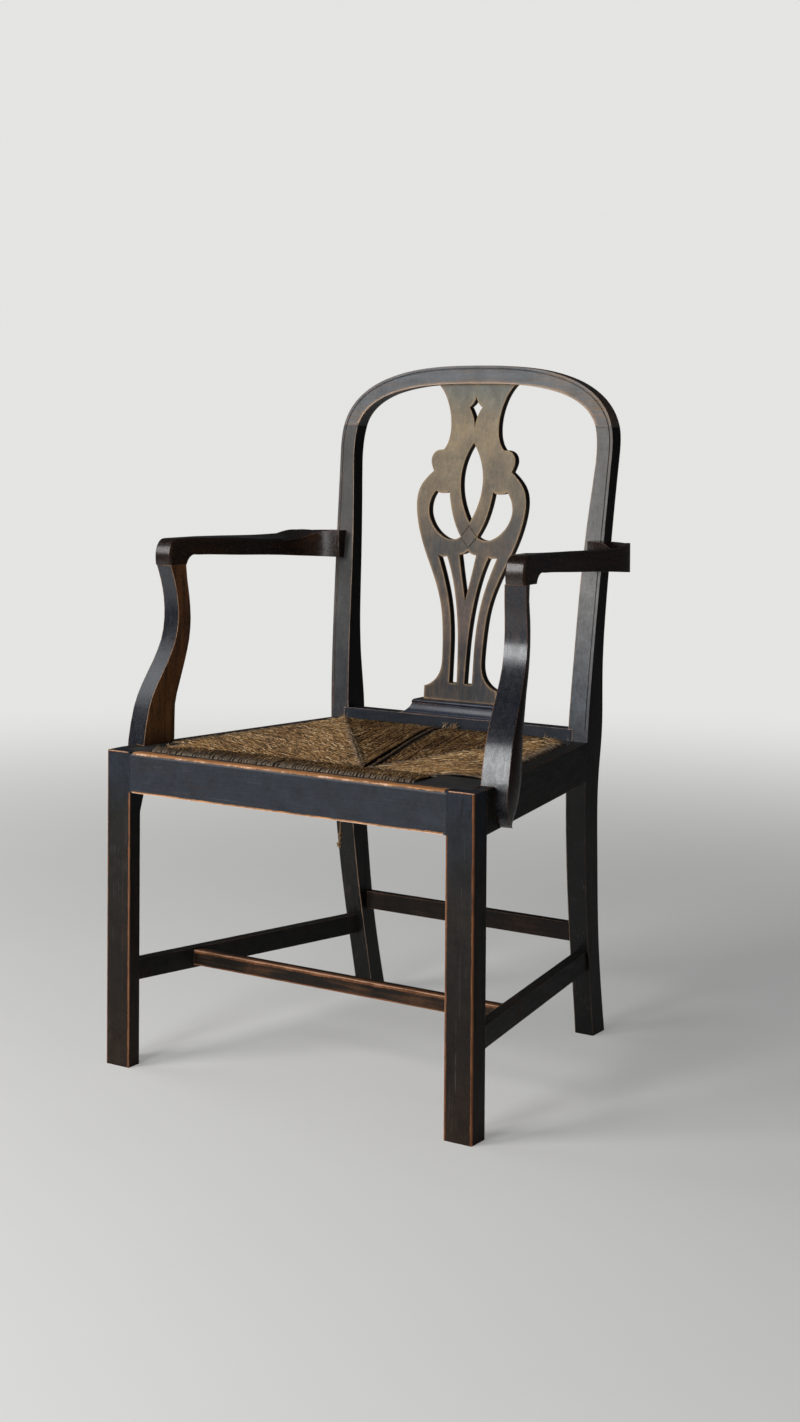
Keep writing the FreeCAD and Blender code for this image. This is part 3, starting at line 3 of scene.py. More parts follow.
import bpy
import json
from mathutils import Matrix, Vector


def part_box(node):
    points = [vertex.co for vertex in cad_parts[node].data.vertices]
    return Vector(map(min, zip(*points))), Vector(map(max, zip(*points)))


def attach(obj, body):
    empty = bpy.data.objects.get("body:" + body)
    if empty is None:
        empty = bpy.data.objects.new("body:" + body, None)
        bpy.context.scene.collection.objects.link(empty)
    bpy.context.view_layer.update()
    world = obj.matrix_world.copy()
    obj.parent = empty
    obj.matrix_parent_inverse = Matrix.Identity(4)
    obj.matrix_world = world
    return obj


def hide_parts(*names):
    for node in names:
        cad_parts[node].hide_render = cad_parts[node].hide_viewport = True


bl_info = {
    "name": "Rush-seated Open Armchair",
    "version": (1, 0, 0),
    "blender": (4, 5, 0),
    "location": "3D View > Sidebar > Armchair",
    "description": "Finishes the wood, winds the rush seat and sets the studio of an open armchair",
    "category": "Object",
}

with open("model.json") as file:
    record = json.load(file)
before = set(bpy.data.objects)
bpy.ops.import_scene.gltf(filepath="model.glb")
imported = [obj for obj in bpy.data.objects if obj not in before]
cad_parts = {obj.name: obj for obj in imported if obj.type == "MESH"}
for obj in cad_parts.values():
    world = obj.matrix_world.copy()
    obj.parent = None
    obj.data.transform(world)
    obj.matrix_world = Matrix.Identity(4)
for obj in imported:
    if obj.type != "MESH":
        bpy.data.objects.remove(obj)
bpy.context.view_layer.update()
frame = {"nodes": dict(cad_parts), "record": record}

import json
import math
from collections import namedtuple

import bmesh
import bpy
import numpy as np
from bpy.props import FloatProperty, FloatVectorProperty, IntProperty, PointerProperty
from mathutils import Matrix, Vector

MM = 0.001
FRAME_BODY = "chair_frame"
SEAT_BODY = "drop_in_seat"


def node_box(name):
    """Lowest and highest corners of a node, as two arrays."""
    low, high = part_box(name)
    return np.array(low, float), np.array(high, float)


# Places on the frame, read from its nodes. Widths are from the centre line.
LEG_LOW, LEG_HIGH = node_box("front_leg_right")
RAIL_LOW, RAIL_HIGH = node_box("front_seat_rail")
FRONT = LEG_LOW[1]
LEG_IN, LEG_OUT = LEG_LOW[0], LEG_HIGH[0]
CROSS_LOW, CROSS_HIGH = node_box("cross_stretcher")
POST_TOP = node_box("crest_rail")[0][2]
HOOP_Z = 0.75  # middle of the hoop that posts and crest make

# Plan of the drop-in seat, read from its pieces. It narrows by FLARE per unit of depth on each side.
# The four panels of rush meet at MEET_X and MEET_Y.
RUSH_LOW, RUSH_HIGH = node_box("rush_front")
BACK_LOW, BACK_HIGH = node_box("rush_back")
LEFT_BLOCK = node_box("seat_block_front_left")
RIGHT_BLOCK = node_box("seat_block_front_right")
BACK_BLOCK = node_box("seat_block_back_right")
SEAT_FRONT = RUSH_LOW[1]
SEAT_BACK = BACK_HIGH[1]
HALF_FRONT = RIGHT_BLOCK[1][0]
FLARE = (HALF_FRONT - BACK_BLOCK[1][0]) / (BACK_BLOCK[0][1] - SEAT_FRONT)
HALF_BACK = HALF_FRONT - FLARE * (SEAT_BACK - SEAT_FRONT)
MEET_X = 22 * MM
MEET_Y = (RUSH_HIGH[1] + BACK_LOW[1]) / 2
CROWN_Z = RUSH_HIGH[2]
UNDER_Z = RUSH_LOW[2] + 9.3 * MM

COLOUR = {"subtype": "COLOR", "size": 3, "min": 0.0, "max": 1.0}
LENGTH = {"subtype": "DISTANCE", "unit": "LENGTH"}
ANGLE = {"subtype": "ANGLE", "unit": "ROTATION"}
POWER = {"min": 0.0, "unit": "POWER"}


class ChairColours(bpy.types.PropertyGroup):
    """Colours of the wood and the rush."""

    paint: FloatVectorProperty(
        name="Paint", description="Slate paint of the rails", default=(0.015, 0.019, 0.027), **COLOUR)
    leg_paint: FloatVectorProperty(
        name="Leg Paint", description="Darker, browner paint of the legs and stretchers",
        default=(0.011, 0.008, 0.006), **COLOUR)
    paint_brown: FloatVectorProperty(
        name="Rubbed Paint", description="Brown that shows through thin paint",
        default=(0.036, 0.020, 0.012), **COLOUR)
    # The faded grey is partly bleached paint and partly painted light, making the upper posts and crest lighter.
    paint_faded_and_painted_light: FloatVectorProperty(
        name="Faded Paint", description="Paint bleached grey on the posts and the crest",
        default=(0.072, 0.070, 0.066), **COLOUR)
    bare_edge: FloatVectorProperty(
        name="Worn Edge", description="Bare wood at the rubbed edges", default=(0.50, 0.225, 0.085), **COLOUR)
    # Pale wood on the sharpest edges, partly a painted highlight along the arris.
    pale_edge_and_highlight: FloatVectorProperty(
        name="Polished Edge", description="Palest wood on the sharpest edges",
        default=(0.78, 0.55, 0.42), **COLOUR)
    polish: FloatVectorProperty(
        name="Polished Arms", description="Hand-darkened polish of the arms",
        default=(0.012, 0.006, 0.004), **COLOUR)
    splat_green: FloatVectorProperty(
        name="Splat Green", description="Faded grey green at the top of the splat",
        default=(0.112, 0.112, 0.090), **COLOUR)
    splat_gold: FloatVectorProperty(
        name="Splat Gold", description="Golden wood that shows through in the middle of the splat",
        default=(0.205, 0.150, 0.085), **COLOUR)
    splat_brown: FloatVectorProperty(
        name="Splat Brown", description="Pinkish brown of the lower splat",
        default=(0.085, 0.058, 0.048), **COLOUR)
    rush_gold: FloatVectorProperty(
        name="Rush Gold", description="Light streaks of the dry rush", default=(0.47, 0.260, 0.090), **COLOUR)
    rush_pale: FloatVectorProperty(
        name="Rush Pale", description="Palest splits and broken reeds", default=(0.82, 0.60, 0.34), **COLOUR)
    rush_brown: FloatVectorProperty(
        name="Rush Brown", description="Body of the aged rush", default=(0.150, 0.071, 0.023), **COLOUR)
    rush_dark: FloatVectorProperty(
        name="Rush Dark", description="Shaded and dirty rush", default=(0.014, 0.009, 0.005), **COLOUR)


class RushSizes(bpy.types.PropertyGroup):
    """Sizes of the twisted rush strands."""

    pitch: FloatProperty(
        name="Strand Pitch", description="Distance from one strand to the next", default=4.8 * MM,
        min=3 * MM, max=12 * MM, **LENGTH)
    radius: FloatProperty(
        name="Strand Radius", description="Half thickness of a strand", default=2.25 * MM,
        min=1 * MM, max=6 * MM, **LENGTH)
    twist: FloatProperty(
        name="Twist Length", description="Length of one full turn of the twist", default=30 * MM,
        min=8 * MM, max=80 * MM, **LENGTH)
    wave: FloatProperty(
        name="Unevenness", description="How far strands stray up, down and sideways", default=0.6 * MM,
        min=0.0, max=2 * MM, **LENGTH)
    steps: IntProperty(
        name="Steps", description="Rings along one strand", default=88, min=24, max=160)
    sides: IntProperty(
        name="Sides", description="Points around one strand", default=8, min=5, max=16)
    fibres: IntProperty(
        name="Loose Fibres", description="Broken reeds lying on the seat", default=1500, min=0, max=6000)


class StageSettings(bpy.types.PropertyGroup):
    """Camera, floor and light."""

    lens: FloatProperty(
        name="Focal Length", description="Focal length of the camera", default=52.07, min=20, max=200,
        subtype="DISTANCE_CAMERA", unit="CAMERA")
    turn: FloatProperty(
        name="Turn", description="How far the camera is turned from the chair's front",
        default=math.radians(33.0), **ANGLE)
    tilt: FloatProperty(
        name="Tilt", description="How far the camera looks down", default=math.radians(1.03), **ANGLE)
    roll: FloatProperty(
        name="Roll", description="Small lean of the camera", default=math.radians(0.387), **ANGLE)
    place: FloatVectorProperty(
        name="Camera Place", description="Where the camera stands", default=(1.5572, -2.3974, 0.8817),
        subtype="TRANSLATION", unit="LENGTH")
    key: FloatProperty(
        name="Window Light", description="Power of the large soft light in front on the left",
        default=58.0, **POWER)
    door: FloatProperty(
        name="Door Light", description="Power of the smaller light straight in front, low down",
        default=36.0, **POWER)
    side: FloatProperty(
        name="Side Light", description="Power of the weaker light far to the left", default=15.0, **POWER)
    fill: FloatProperty(
        name="Fill Light", description="Power of the faint light on the right", default=2.0, **POWER)
    sky: FloatProperty(
        name="Room Light", description="Strength of the even light all round", default=0.05, min=0.0, max=2.0)
    backdrop: FloatVectorProperty(
        name="Backdrop", description="Plain pale colour behind the chair", default=(0.78, 0.78, 0.765), **COLOUR)


# Meshes from arrays.
def put_mesh(name, points, faces, maps=None, smooth=True):
    """A mesh object at the origin from an array of points and a list of faces.

    maps holds one array of two numbers per face corner for each named map.
    """
    mesh = bpy.data.meshes.new(name)
    mesh.from_pydata(points.reshape(-1, 3).tolist(), [], faces)
    for title, values in (maps or {}).items():
        layer = mesh.uv_layers.new(name=title)
        layer.data.foreach_set("uv", np.ascontiguousarray(values, dtype=np.float32).ravel())
    mesh.polygons.foreach_set("use_smooth", np.full(len(mesh.polygons), smooth))
    mesh.update()
    return put_object(name, mesh)


def put_object(name, data):
    """An object at the origin that shows a mesh, curve, light or camera."""
    piece = bpy.data.objects.new(name, data)
    bpy.context.scene.collection.objects.link(piece)
    return piece


def tube_faces(strands, steps, sides):
    """Quads of many closed tubes that share one numbering, and the caps of their ends."""
    k, i, j = np.meshgrid(np.arange(strands), np.arange(steps - 1), np.arange(sides), indexing="ij")
    base = (k * steps + i) * sides
    quads = np.stack([base + j, base + (j + 1) % sides, base + sides + (j + 1) % sides, base + sides + j], -1)
    first = np.arange(strands)[:, None] * steps * sides + np.arange(sides)[None, ::-1]
    last = (np.arange(strands)[:, None] * steps + steps - 1) * sides + np.arange(sides)[None, :]
    return quads.reshape(-1, 4), np.concatenate([first, last])


def tube_maps(along, around, theta, ident, extra):
    """Face-corner maps of tubes: length and way round the twist, number and dirt, and way round the tube."""
    strands, steps, sides = around.shape
    wide = np.concatenate([around, around[..., :1] + 2 * np.pi], axis=2)

    def corners(values):
        """Values of a grid at the corners of its quads, and zeros at those of the caps."""
        grid = np.broadcast_to(values, wide.shape)
        quads = [grid[:, :-1, :-1], grid[:, :-1, 1:], grid[:, 1:, 1:], grid[:, 1:, :-1]]
        return np.concatenate([np.stack(quads, -1).reshape(-1), np.zeros(strands * 2 * sides)])

    names = corners(ident[:, None, None])
    return {
        "fibre": np.stack([corners(along[:, :, None]), corners(wide)], -1),
        "strand": np.stack([names, corners(extra[:, :, None])], -1),
        "round": np.stack([corners(np.append(theta, 2 * np.pi) / (2 * np.pi)), names], -1),
    }


def circle(sides):
    """Angles of evenly spaced points round a circle."""
    return np.linspace(0, 2 * np.pi, sides, endpoint=False)


def rings(first, second, theta):
    """Circles of radius one about the points of lines, in the plane of two directions at each point."""
    return first[:, :, None, :] * np.cos(theta)[:, None] + second[:, :, None, :] * np.sin(theta)[:, None]


def unit(v):
    """Vectors of length one along the last axis."""
    return v / np.maximum(np.linalg.norm(v, axis=-1, keepdims=True), 1e-12)


def smooth_step(x):
    """Rises smoothly from 0 to 1."""
    x = np.clip(x, 0, 1)
    return x * x * (3 - 2 * x)


def bell(x, width):
    """Falls from 1 at 0 to both sides by the square of x over a width."""
    return np.exp(-(x / width) ** 2)


# Shader nodes.
class Value:
    """A node's output, with arithmetic by further nodes."""

    def __init__(self, graph, socket):
        self.graph = graph
        self.socket = socket

    def maths(self, operation, *values):
        """A Math node fed by values and numbers."""
        return self.graph.value("Math", 0, dict(enumerate(values)), operation=operation)

    def __add__(self, other):
        return self.maths("ADD", self, other)

    def __sub__(self, other):
        return self.maths("SUBTRACT", self, other)

    def __rsub__(self, other):
        return self.maths("SUBTRACT", other, self)

    def __mul__(self, other):
        return self.maths("MULTIPLY", self, other)

    def __truediv__(self, other):
        return self.maths("DIVIDE", self, other)

    def __abs__(self):
        return self.maths("ABSOLUTE", self)

    def root(self):
        """The square root."""
        return self.maths("SQRT", self)

    def most(self, other):
        """The larger of two values."""
        return self.maths("MAXIMUM", self, other)

    def ramp(self, low, high):
        """A smooth rise from 0 at low to 1 at high, or a fall where low is the higher."""
        return self.graph.value("MapRange", "Result", {"Value": self, "From Min": low, "From Max": high},
                                interpolation_type="SMOOTHSTEP")


class Graph:
    """A tree of shader nodes, with short ways to add nodes fed by values, numbers and colours."""

    def __init__(self, tree, output):
        self.tree = tree
        tree.nodes.clear()
        self.output = self.node(output)

    def fill(self, node, feeds):
        """Links values to a node's inputs, or sets them to numbers, colours or vectors."""
        for title, value in feeds.items():
            socket = node.inputs[title]
            if isinstance(value, Value):
                self.tree.links.new(value.socket, socket)
            elif isinstance(value, (int, float)):
                socket.default_value = value
            else:
                socket.default_value = (*value, 1.0) if len(socket.default_value) == 4 else value

    def node(self, kind, feeds=None, **settings):
        """A node of a kind with its settings and inputs."""
        node = self.tree.nodes.new(f"ShaderNode{kind}")
        for title, setting in settings.items():
            setattr(node, title, setting)
        self.fill(node, feeds or {})
        return node

    def value(self, kind, output, feeds=None, **settings):
        """One output of a new node."""
        return Value(self, self.node(kind, feeds, **settings).outputs[output])

    def place(self):
        """Object coordinates."""
        return self.value("TexCoord", "Object")

    def wound(self, name):
        """The three numbers of a named map."""
        return self.split(self.value("UVMap", 0, uv_map=name))

    def split(self, vector):
        """The three numbers of a vector."""
        return [Value(self, socket) for socket in self.node("SeparateXYZ", {0: vector}).outputs]

    def joined(self, x, y, z):
        """A vector of three numbers."""
        return self.value("CombineXYZ", 0, {0: x, 1: y, 2: z})

    def stretched(self, vector, scale):
        """Coordinates stretched by a scale along each axis."""
        return self.value("Mapping", "Vector", {"Vector": vector, "Scale": scale})

    def noise(self, vector, scale, detail=4.0, rough=0.55, lump=0.0):
        """A noise texture's value."""
        return self.value("TexNoise", "Fac", {"Vector": vector, "Scale": scale, "Detail": detail,
                                              "Roughness": rough, "Distortion": lump})

    def own(self, ident, scale):
        """A random number of one strand or reed, from its number."""
        return self.noise(self.joined(ident * scale, 0.0, 0.0), 1.0, 1.0, 0.5)

    def mix(self, share, a, b, blend="MIX"):
        """A mix of two colours by a share."""
        return self.value("Mix", 2, {0: share, 6: a, 7: b}, data_type="RGBA", blend_type=blend)

    def dot(self, a, b):
        """The dot product of two vectors."""
        return self.value("VectorMath", "Value", {0: a, 1: b}, operation="DOT_PRODUCT")

    def rounded(self, radius):
        """The normal as if every edge were rounded by a radius."""
        return self.value("Bevel", 0, {"Radius": radius}, samples=6)

    def bump(self, height, strength, distance, **over):
        """The normal of a bumpy face, over another normal where one is given."""
        return self.value("Bump", 0, {"Height": height, "Strength": strength, "Distance": distance, **over})

    def seen(self):
        """1 where the camera looks straight at the surface."""
        return self.value("LightPath", "Is Camera Ray")


def new_material(name):
    """An empty material, the graph of its nodes and its shader."""
    material = bpy.data.materials.new(name)
    material.use_nodes = True
    graph = Graph(material.node_tree, "OutputMaterial")
    shader = graph.node("BsdfPrincipled")
    graph.fill(graph.output, {"Surface": Value(graph, shader.outputs["BSDF"])})
    return material, graph, shader


def dimmed(colour, share):
    """A colour times a share."""
    return tuple(c * share for c in colour)


# Wood. GRAIN and SCRATCH stretch noise along the grain's axis. A Finish has the colours of the paint
# and of thin paint, of worn edges and of their palest parts (pale wood and a painted highlight), then
# how worn and how rough it is, its share of thin paint, the radius of the rubbing, its shine and its
# clear coat. A Ridge is an arris along an axis: its place on the two other axes, the reach of wear on
# its two faces and of pale wood with its painted highlight.
GRAIN = {"X": (5.0, 90.0, 90.0), "Y": (90.0, 5.0, 90.0), "Z": (90.0, 90.0, 5.0)}
SCRATCH = {"X": (6.0, 300.0, 900.0), "Y": (300.0, 6.0, 900.0), "Z": (900.0, 900.0, 6.0)}
Finish = namedtuple("Finish", "body thin edge pale wear gloss bare rub shine coat", defaults=(0.0,))
Ridge = namedtuple("Ridge", "axis first second wide deep pale")


def arris_distance(ridge, side, y, z):
    """Distance to a straight arris along an axis, as a share of the wear's width on each face, and
    the larger of its two parts as a share of the palest width."""
    first, second = {"X": (y, z), "Y": (side, z), "Z": (side, y)}[ridge.axis]
    near, under = abs(first - ridge.first), abs(second - ridge.second)
    a, b = near / ridge.wide, under / ridge.deep
    return (a * a + b * b).root(), near.most(under) / ridge.pale


def joint_calm(places, quiet):
    """0 beside the planes of joints, above the height of each, and 1 elsewhere."""
    calm = 1.0
    for axis, joint, above in quiet:
        below = places["Z"].ramp(above + 2 * MM, above - 2 * MM)
        calm = abs(places[axis] - joint).ramp(2.5 * MM, 5 * MM).most(below) * calm
    return calm


def crack_line(x, z, waver, crack):
    """1 on a thin leaning line that wavers, from its place across and its top down to its foot."""
    across, top, foot = crack
    line = (z - top) * 0.12 + waver * (4 * MM) + across
    half = (top - foot) / 2
    return abs(x - line).ramp(0.9 * MM, 0.3 * MM) * abs(z - (top + foot) / 2).ramp(half, half - 4 * MM)


def height_tones(graph, height, tones):
    """Colours that follow one another up the piece, from pairs of height and colour."""
    colour = tones[0][1]
    for (low, _), (high, above) in zip(tones, tones[1:]):
        colour = graph.mix(height.ramp(low, high), colour, above)
    return colour


def worn_wood(name, finish, grain, tones=(), ridges=(), quiet=(), crack=None, right_face_shade_and_tint=None, hoop=False, halo=None):
    """Old painted or polished wood.

    body and thin are two shades in patches and streaks along the grain, under fine pale scratches.
    Edges found by rounding the normal are rubbed to bare wood where noise lets them. Each ridge is a
    straight arris with wear of its own width, palest along its middle. The pale wood on ridges and the
    sharpest edges is partly a painted highlight. quiet holds the planes of joints, as an axis, a place
    and the height above which no wear shows. tones replace body by height. crack is the place across,
    the top and the foot of a crack. The flank colour goes on the faces that are turned to the right,
    away from the main lamps: on the posts and the splat it is painted shade, on the arms and their
    supports a brown tint. hoop keeps the wear to the arrises that look towards the middle of the back.
    halo is a soft golden rubbing that fades in from the edges.
    """
    material, graph, shader = new_material(name)
    mix, noise = graph.mix, graph.noise
    place = graph.place()
    x, y, z = graph.split(place)
    side = abs(x)
    drawn = graph.stretched(place, GRAIN[grain])
    patches = noise(place, 7.0, 5.0, 0.6)
    cloud = noise(place, 38.0, 4.0, 0.6)
    mottle = noise(place, 210.0, 3.0, 0.6)
    streaks = noise(drawn, 1.6, 6.0, 0.62, 0.6)
    fine = noise(drawn, 6.5, 3.0, 0.6)
    scratch = noise(graph.stretched(place, SCRATCH[grain]), 1.0, 2.0, 0.5)
    patchy, cloudy, mottled = patches - 0.5, cloud - 0.5, mottle - 0.5

    # The paint: two shades, specks, scratches, and the colour of the faces to the right, which is painted shade on
    # the posts and splat and a brown tint on the arms and supports.
    body, thin = finish.body, finish.thin
    if tones:
        body = height_tones(graph, z + patchy * 0.18, tones)
        thin = mix(0.45, body, thin)
    rubbed_from = 0.60 - finish.bare * 0.3
    colour = mix((patches * 0.6 + streaks * 0.4).ramp(rubbed_from, rubbed_from + 0.20), body, thin)
    colour = mix(1.0, colour, cloud * 1.2 + fine * 0.9 + mottle - 0.55, "MULTIPLY")
    scratches = scratch.ramp(0.64, 0.70) * cloud.ramp(0.42, 0.6)
    colour = mix(scratches * 0.35, colour, tuple(c + 0.09 for c in finish.body))
    flat = graph.value("NewGeometry", "Normal")
    # Painted shade: faces turned to the right, away from the main lamps, take the flank colour, near black on the
    # posts and splat; on the arms and supports it is a brown tint.
    if right_face_shade_and_tint:
        lit = mix(streaks.ramp(0.40, 0.62), right_face_shade_and_tint, dimmed(right_face_shade_and_tint, 0.35))
        colour = mix(graph.split(flat)[0].ramp(0.35, 0.75), colour, lit)

    # The edges, by how far the rounded normal is bent from the flat one.
    rounded = graph.rounded(finish.rub)
    bend = 1.0 - graph.dot(rounded, flat)
    rub = cloudy * 0.55 + patchy * 0.6
    worn = rub * min(finish.wear, 0.8) + bend
    on_edge = bend.ramp(0.004, 0.04)
    if hoop:
        inner = graph.dot(graph.joined(x, 0.0, z - HOOP_Z), rounded).ramp(-0.01, -0.05)
        on_edge = on_edge * (inner * 0.85 + 0.15)
    calm = joint_calm({"X": side, "Y": y, "Z": z}, quiet)
    on_edge = on_edge * calm
    if halo:
        colour = mix((rub * 0.6 + bend).ramp(0.0, 0.24) * on_edge * 0.85, colour, halo)
    least = 0.30 - 0.13 * finish.wear
    edge_mask = worn.ramp(least, least + 0.11) * on_edge
    # Pale wood at the sharpest edges and along each ridge's middle, partly a painted highlight.
    pale_wear_and_highlight_mask = worn.ramp(0.30, 0.42) * on_edge
    for ridge in ridges:
        far, close = arris_distance(ridge, side, y, z)
        edge_mask = edge_mask.most((cloudy * 1.1 + mottled * 0.7 + far).ramp(1.15, 0.8))
        pale_wear_and_highlight_mask = pale_wear_and_highlight_mask.most((cloudy * 2.6 + mottled * 1.6 + close).ramp(1.0, 0.6) * 0.85)
    edge_mask = edge_mask * calm
    colour = mix(edge_mask, colour, mix(fine.ramp(0.38, 0.66), finish.edge, dimmed(finish.edge, 0.5)))
    colour = mix(pale_wear_and_highlight_mask * calm, colour, finish.pale)
    if crack:
        colour = mix(crack_line(x, z, cloudy, crack), colour, (0.002, 0.002, 0.002))

    rough = (streaks - 0.5) * 0.35 + mottled * 0.2 + edge_mask * 0.1 + finish.gloss
    relief = graph.bump(fine * 0.5 + cloud * 0.9, 0.3, 0.6 * MM, Normal=graph.rounded(1.2 * MM))
    graph.fill(shader, {"Base Color": colour, "Roughness": rough, "Specular IOR Level": finish.shine,
                        "Normal": relief})
    if finish.coat:
        graph.fill(shader, {"Coat Weight": finish.coat, "Coat Roughness": 0.22})
    return material


def plain_wood(name, dark, light, grain, rough):
    """Unpainted or matt wood with grain streaks."""
    material, graph, shader = new_material(name)
    place = graph.place()
    streaks = graph.noise(graph.stretched(place, GRAIN[grain]), 1.3, 6.0, 0.6, 0.8)
    shade = (streaks * 0.6 + graph.noise(place, 22.0) * 0.4).ramp(0.35, 0.68)
    graph.fill(shader, {"Base Color": graph.mix(shade, dark, light), "Roughness": rough,
                        "Normal": graph.bump(streaks, 0.3, 0.4 * MM)})
    return material


def old_steel(name):
    """Dull screw steel with brown spots."""
    material, graph, shader = new_material(name)
    spots = graph.noise(graph.place(), 420.0, 4.0, 0.6)
    colour = graph.mix(spots.ramp(0.45, 0.65), (0.20, 0.19, 0.18), (0.10, 0.06, 0.04))
    graph.fill(shader, {"Base Color": colour, "Roughness": spots * 0.9, "Metallic": 1.0})
    return material


# Rush.
def rush_material(colours):
    """Dry twisted rush: long flecks that wind with the twist, and painted shade down the flanks of each strand."""
    material, graph, shader = new_material("twisted_rush")
    mix, noise = graph.mix, graph.noise
    along, wound, _ = graph.wound("fibre")
    ident, dirt, _ = graph.wound("strand")
    turn = graph.wound("round")[0]
    grain = graph.joined(along * 95.0, wound * 1.9, ident * 61.0)
    fleck = noise(grain, 1.0, 2.0, 0.6)
    splits = noise(grain, 2.6, 2.0, 0.5)
    blotch = noise(graph.place(), 15.0, 4.0, 0.6)
    value = fleck * 0.80 + blotch * 0.35 + (graph.own(ident, 91.0) - 0.5) * 0.25 - 0.075
    colour = mix(value.ramp(0.36, 0.47), colours.rush_dark, colours.rush_brown)
    colour = mix(value.ramp(0.48, 0.57), colour, colours.rush_gold)
    colour = mix(value.ramp(0.58, 0.64), colour, colours.rush_pale)
    colour = mix(splits.ramp(0.44, 0.36), colour, colours.rush_dark)
    dust = mix(splits.ramp(0.40, 0.62), (0.045, 0.035, 0.026), (0.225, 0.175, 0.125))
    colour = mix(dirt * 0.9, colour, dust)
    # Painted shade: the sides and underside of each strand, found by the way round the tube, darken to rush_dark.
    colour = mix(abs(turn - 0.5).ramp(0.36, 0.20), colour, colours.rush_dark)
    graph.fill(shader, {"Base Color": colour, "Roughness": 0.55, "Specular IOR Level": 0.4,
                        "Normal": graph.bump(fleck, 0.8, 0.7 * MM)})
    return material


def reed_material(colours):
    """Pale dry reed, each piece a little different."""
    material, graph, shader = new_material("broken_reed")
    streak = graph.noise(graph.place(), 300.0, 2.0, 0.5)
    value = graph.own(graph.wound("strand")[0], 173.0) * 0.8 + streak * 0.2
    colour = graph.mix(value.ramp(0.38, 0.50), colours.rush_brown, colours.rush_gold)
    colour = graph.mix(value.ramp(0.50, 0.60), colour, colours.rush_pale)
    graph.fill(shader, {"Base Color": colour, "Roughness": 0.5})
    return material


# Nodes and copies of nodes.
def node_slot(name):
    """The record's material slot of a node."""
    for part in frame["record"]["subparts"]:
        if part["node"] == name:
            return part["material_slot"]
    raise ValueError(f"no material slot for {name}")


def dress(names, material):
    """Gives a material to carried-over nodes."""
    for name in names:
        for holder in frame["nodes"][name].material_slots:
            holder.material = material


def evened_normals(mesh, rounds):
    """Normals spread along a surface of triangles: in each round a corner takes the mean of its
    faces by area, and a face the mean of its corners."""
    corner = np.empty(len(mesh.loops), np.int32)
    mesh.loops.foreach_get("vertex_index", corner)
    corner = corner.reshape(-1, 3)
    place = np.empty(len(mesh.vertices) * 3, np.float32)
    mesh.vertices.foreach_get("co", place)
    a, b, c = (place.reshape(-1, 3).astype(float)[corner[:, i]] for i in range(3))
    cross = np.cross(b - a, c - a)
    area = np.linalg.norm(cross, axis=1, keepdims=True)
    turned = unit(cross)
    for _ in range(rounds):
        total = np.zeros((len(mesh.vertices), 3))
        for side in range(3):
            np.add.at(total, corner[:, side], turned * area)
        normal = unit(total)
        turned = unit(normal[corner].sum(axis=1))
    return normal


SHARP_EDGE = math.radians(34)
LONGEST_EDGE = 7 * MM
MERGE_WITHIN = 0.005 * MM
HALVINGS = 9
EVENING = 8


def smoothed(names, material):
    """Merged copies of curved nodes that replace them: cut into small triangles, split at the sharp
    edges and shaded with evened normals."""
    for name in names:
        title = f"{name}_carved"
        mesh = frame["nodes"][name].data.copy()
        mesh.name = title
        work = bmesh.new()
        work.from_mesh(mesh)
        bmesh.ops.remove_doubles(work, verts=work.verts, dist=MERGE_WITHIN)
        for _ in range(HALVINGS):
            long = [line for line in work.edges if line.calc_length() > LONGEST_EDGE]
            bmesh.ops.subdivide_edges(work, edges=long, cuts=1)
            bmesh.ops.triangulate(work, faces=work.faces)
        hard = [line for line in work.edges if line.calc_face_angle(math.pi) > SHARP_EDGE]
        bmesh.ops.split_edges(work, edges=hard)
        work.to_mesh(mesh)
        work.free()
        mesh.polygons.foreach_set("use_smooth", np.ones(len(mesh.polygons), bool))
        mesh.normals_split_custom_set_from_vertices(evened_normals(mesh, EVENING).tolist())
        mesh.materials.clear()
        mesh.materials.append(material)
        piece = put_object(title, mesh)
        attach(piece, FRAME_BODY)
        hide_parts(name)
        node_slot(name)


def pair(name):
    """Left and right nodes of one name."""
    return [f"{name}_left", f"{name}_right"]


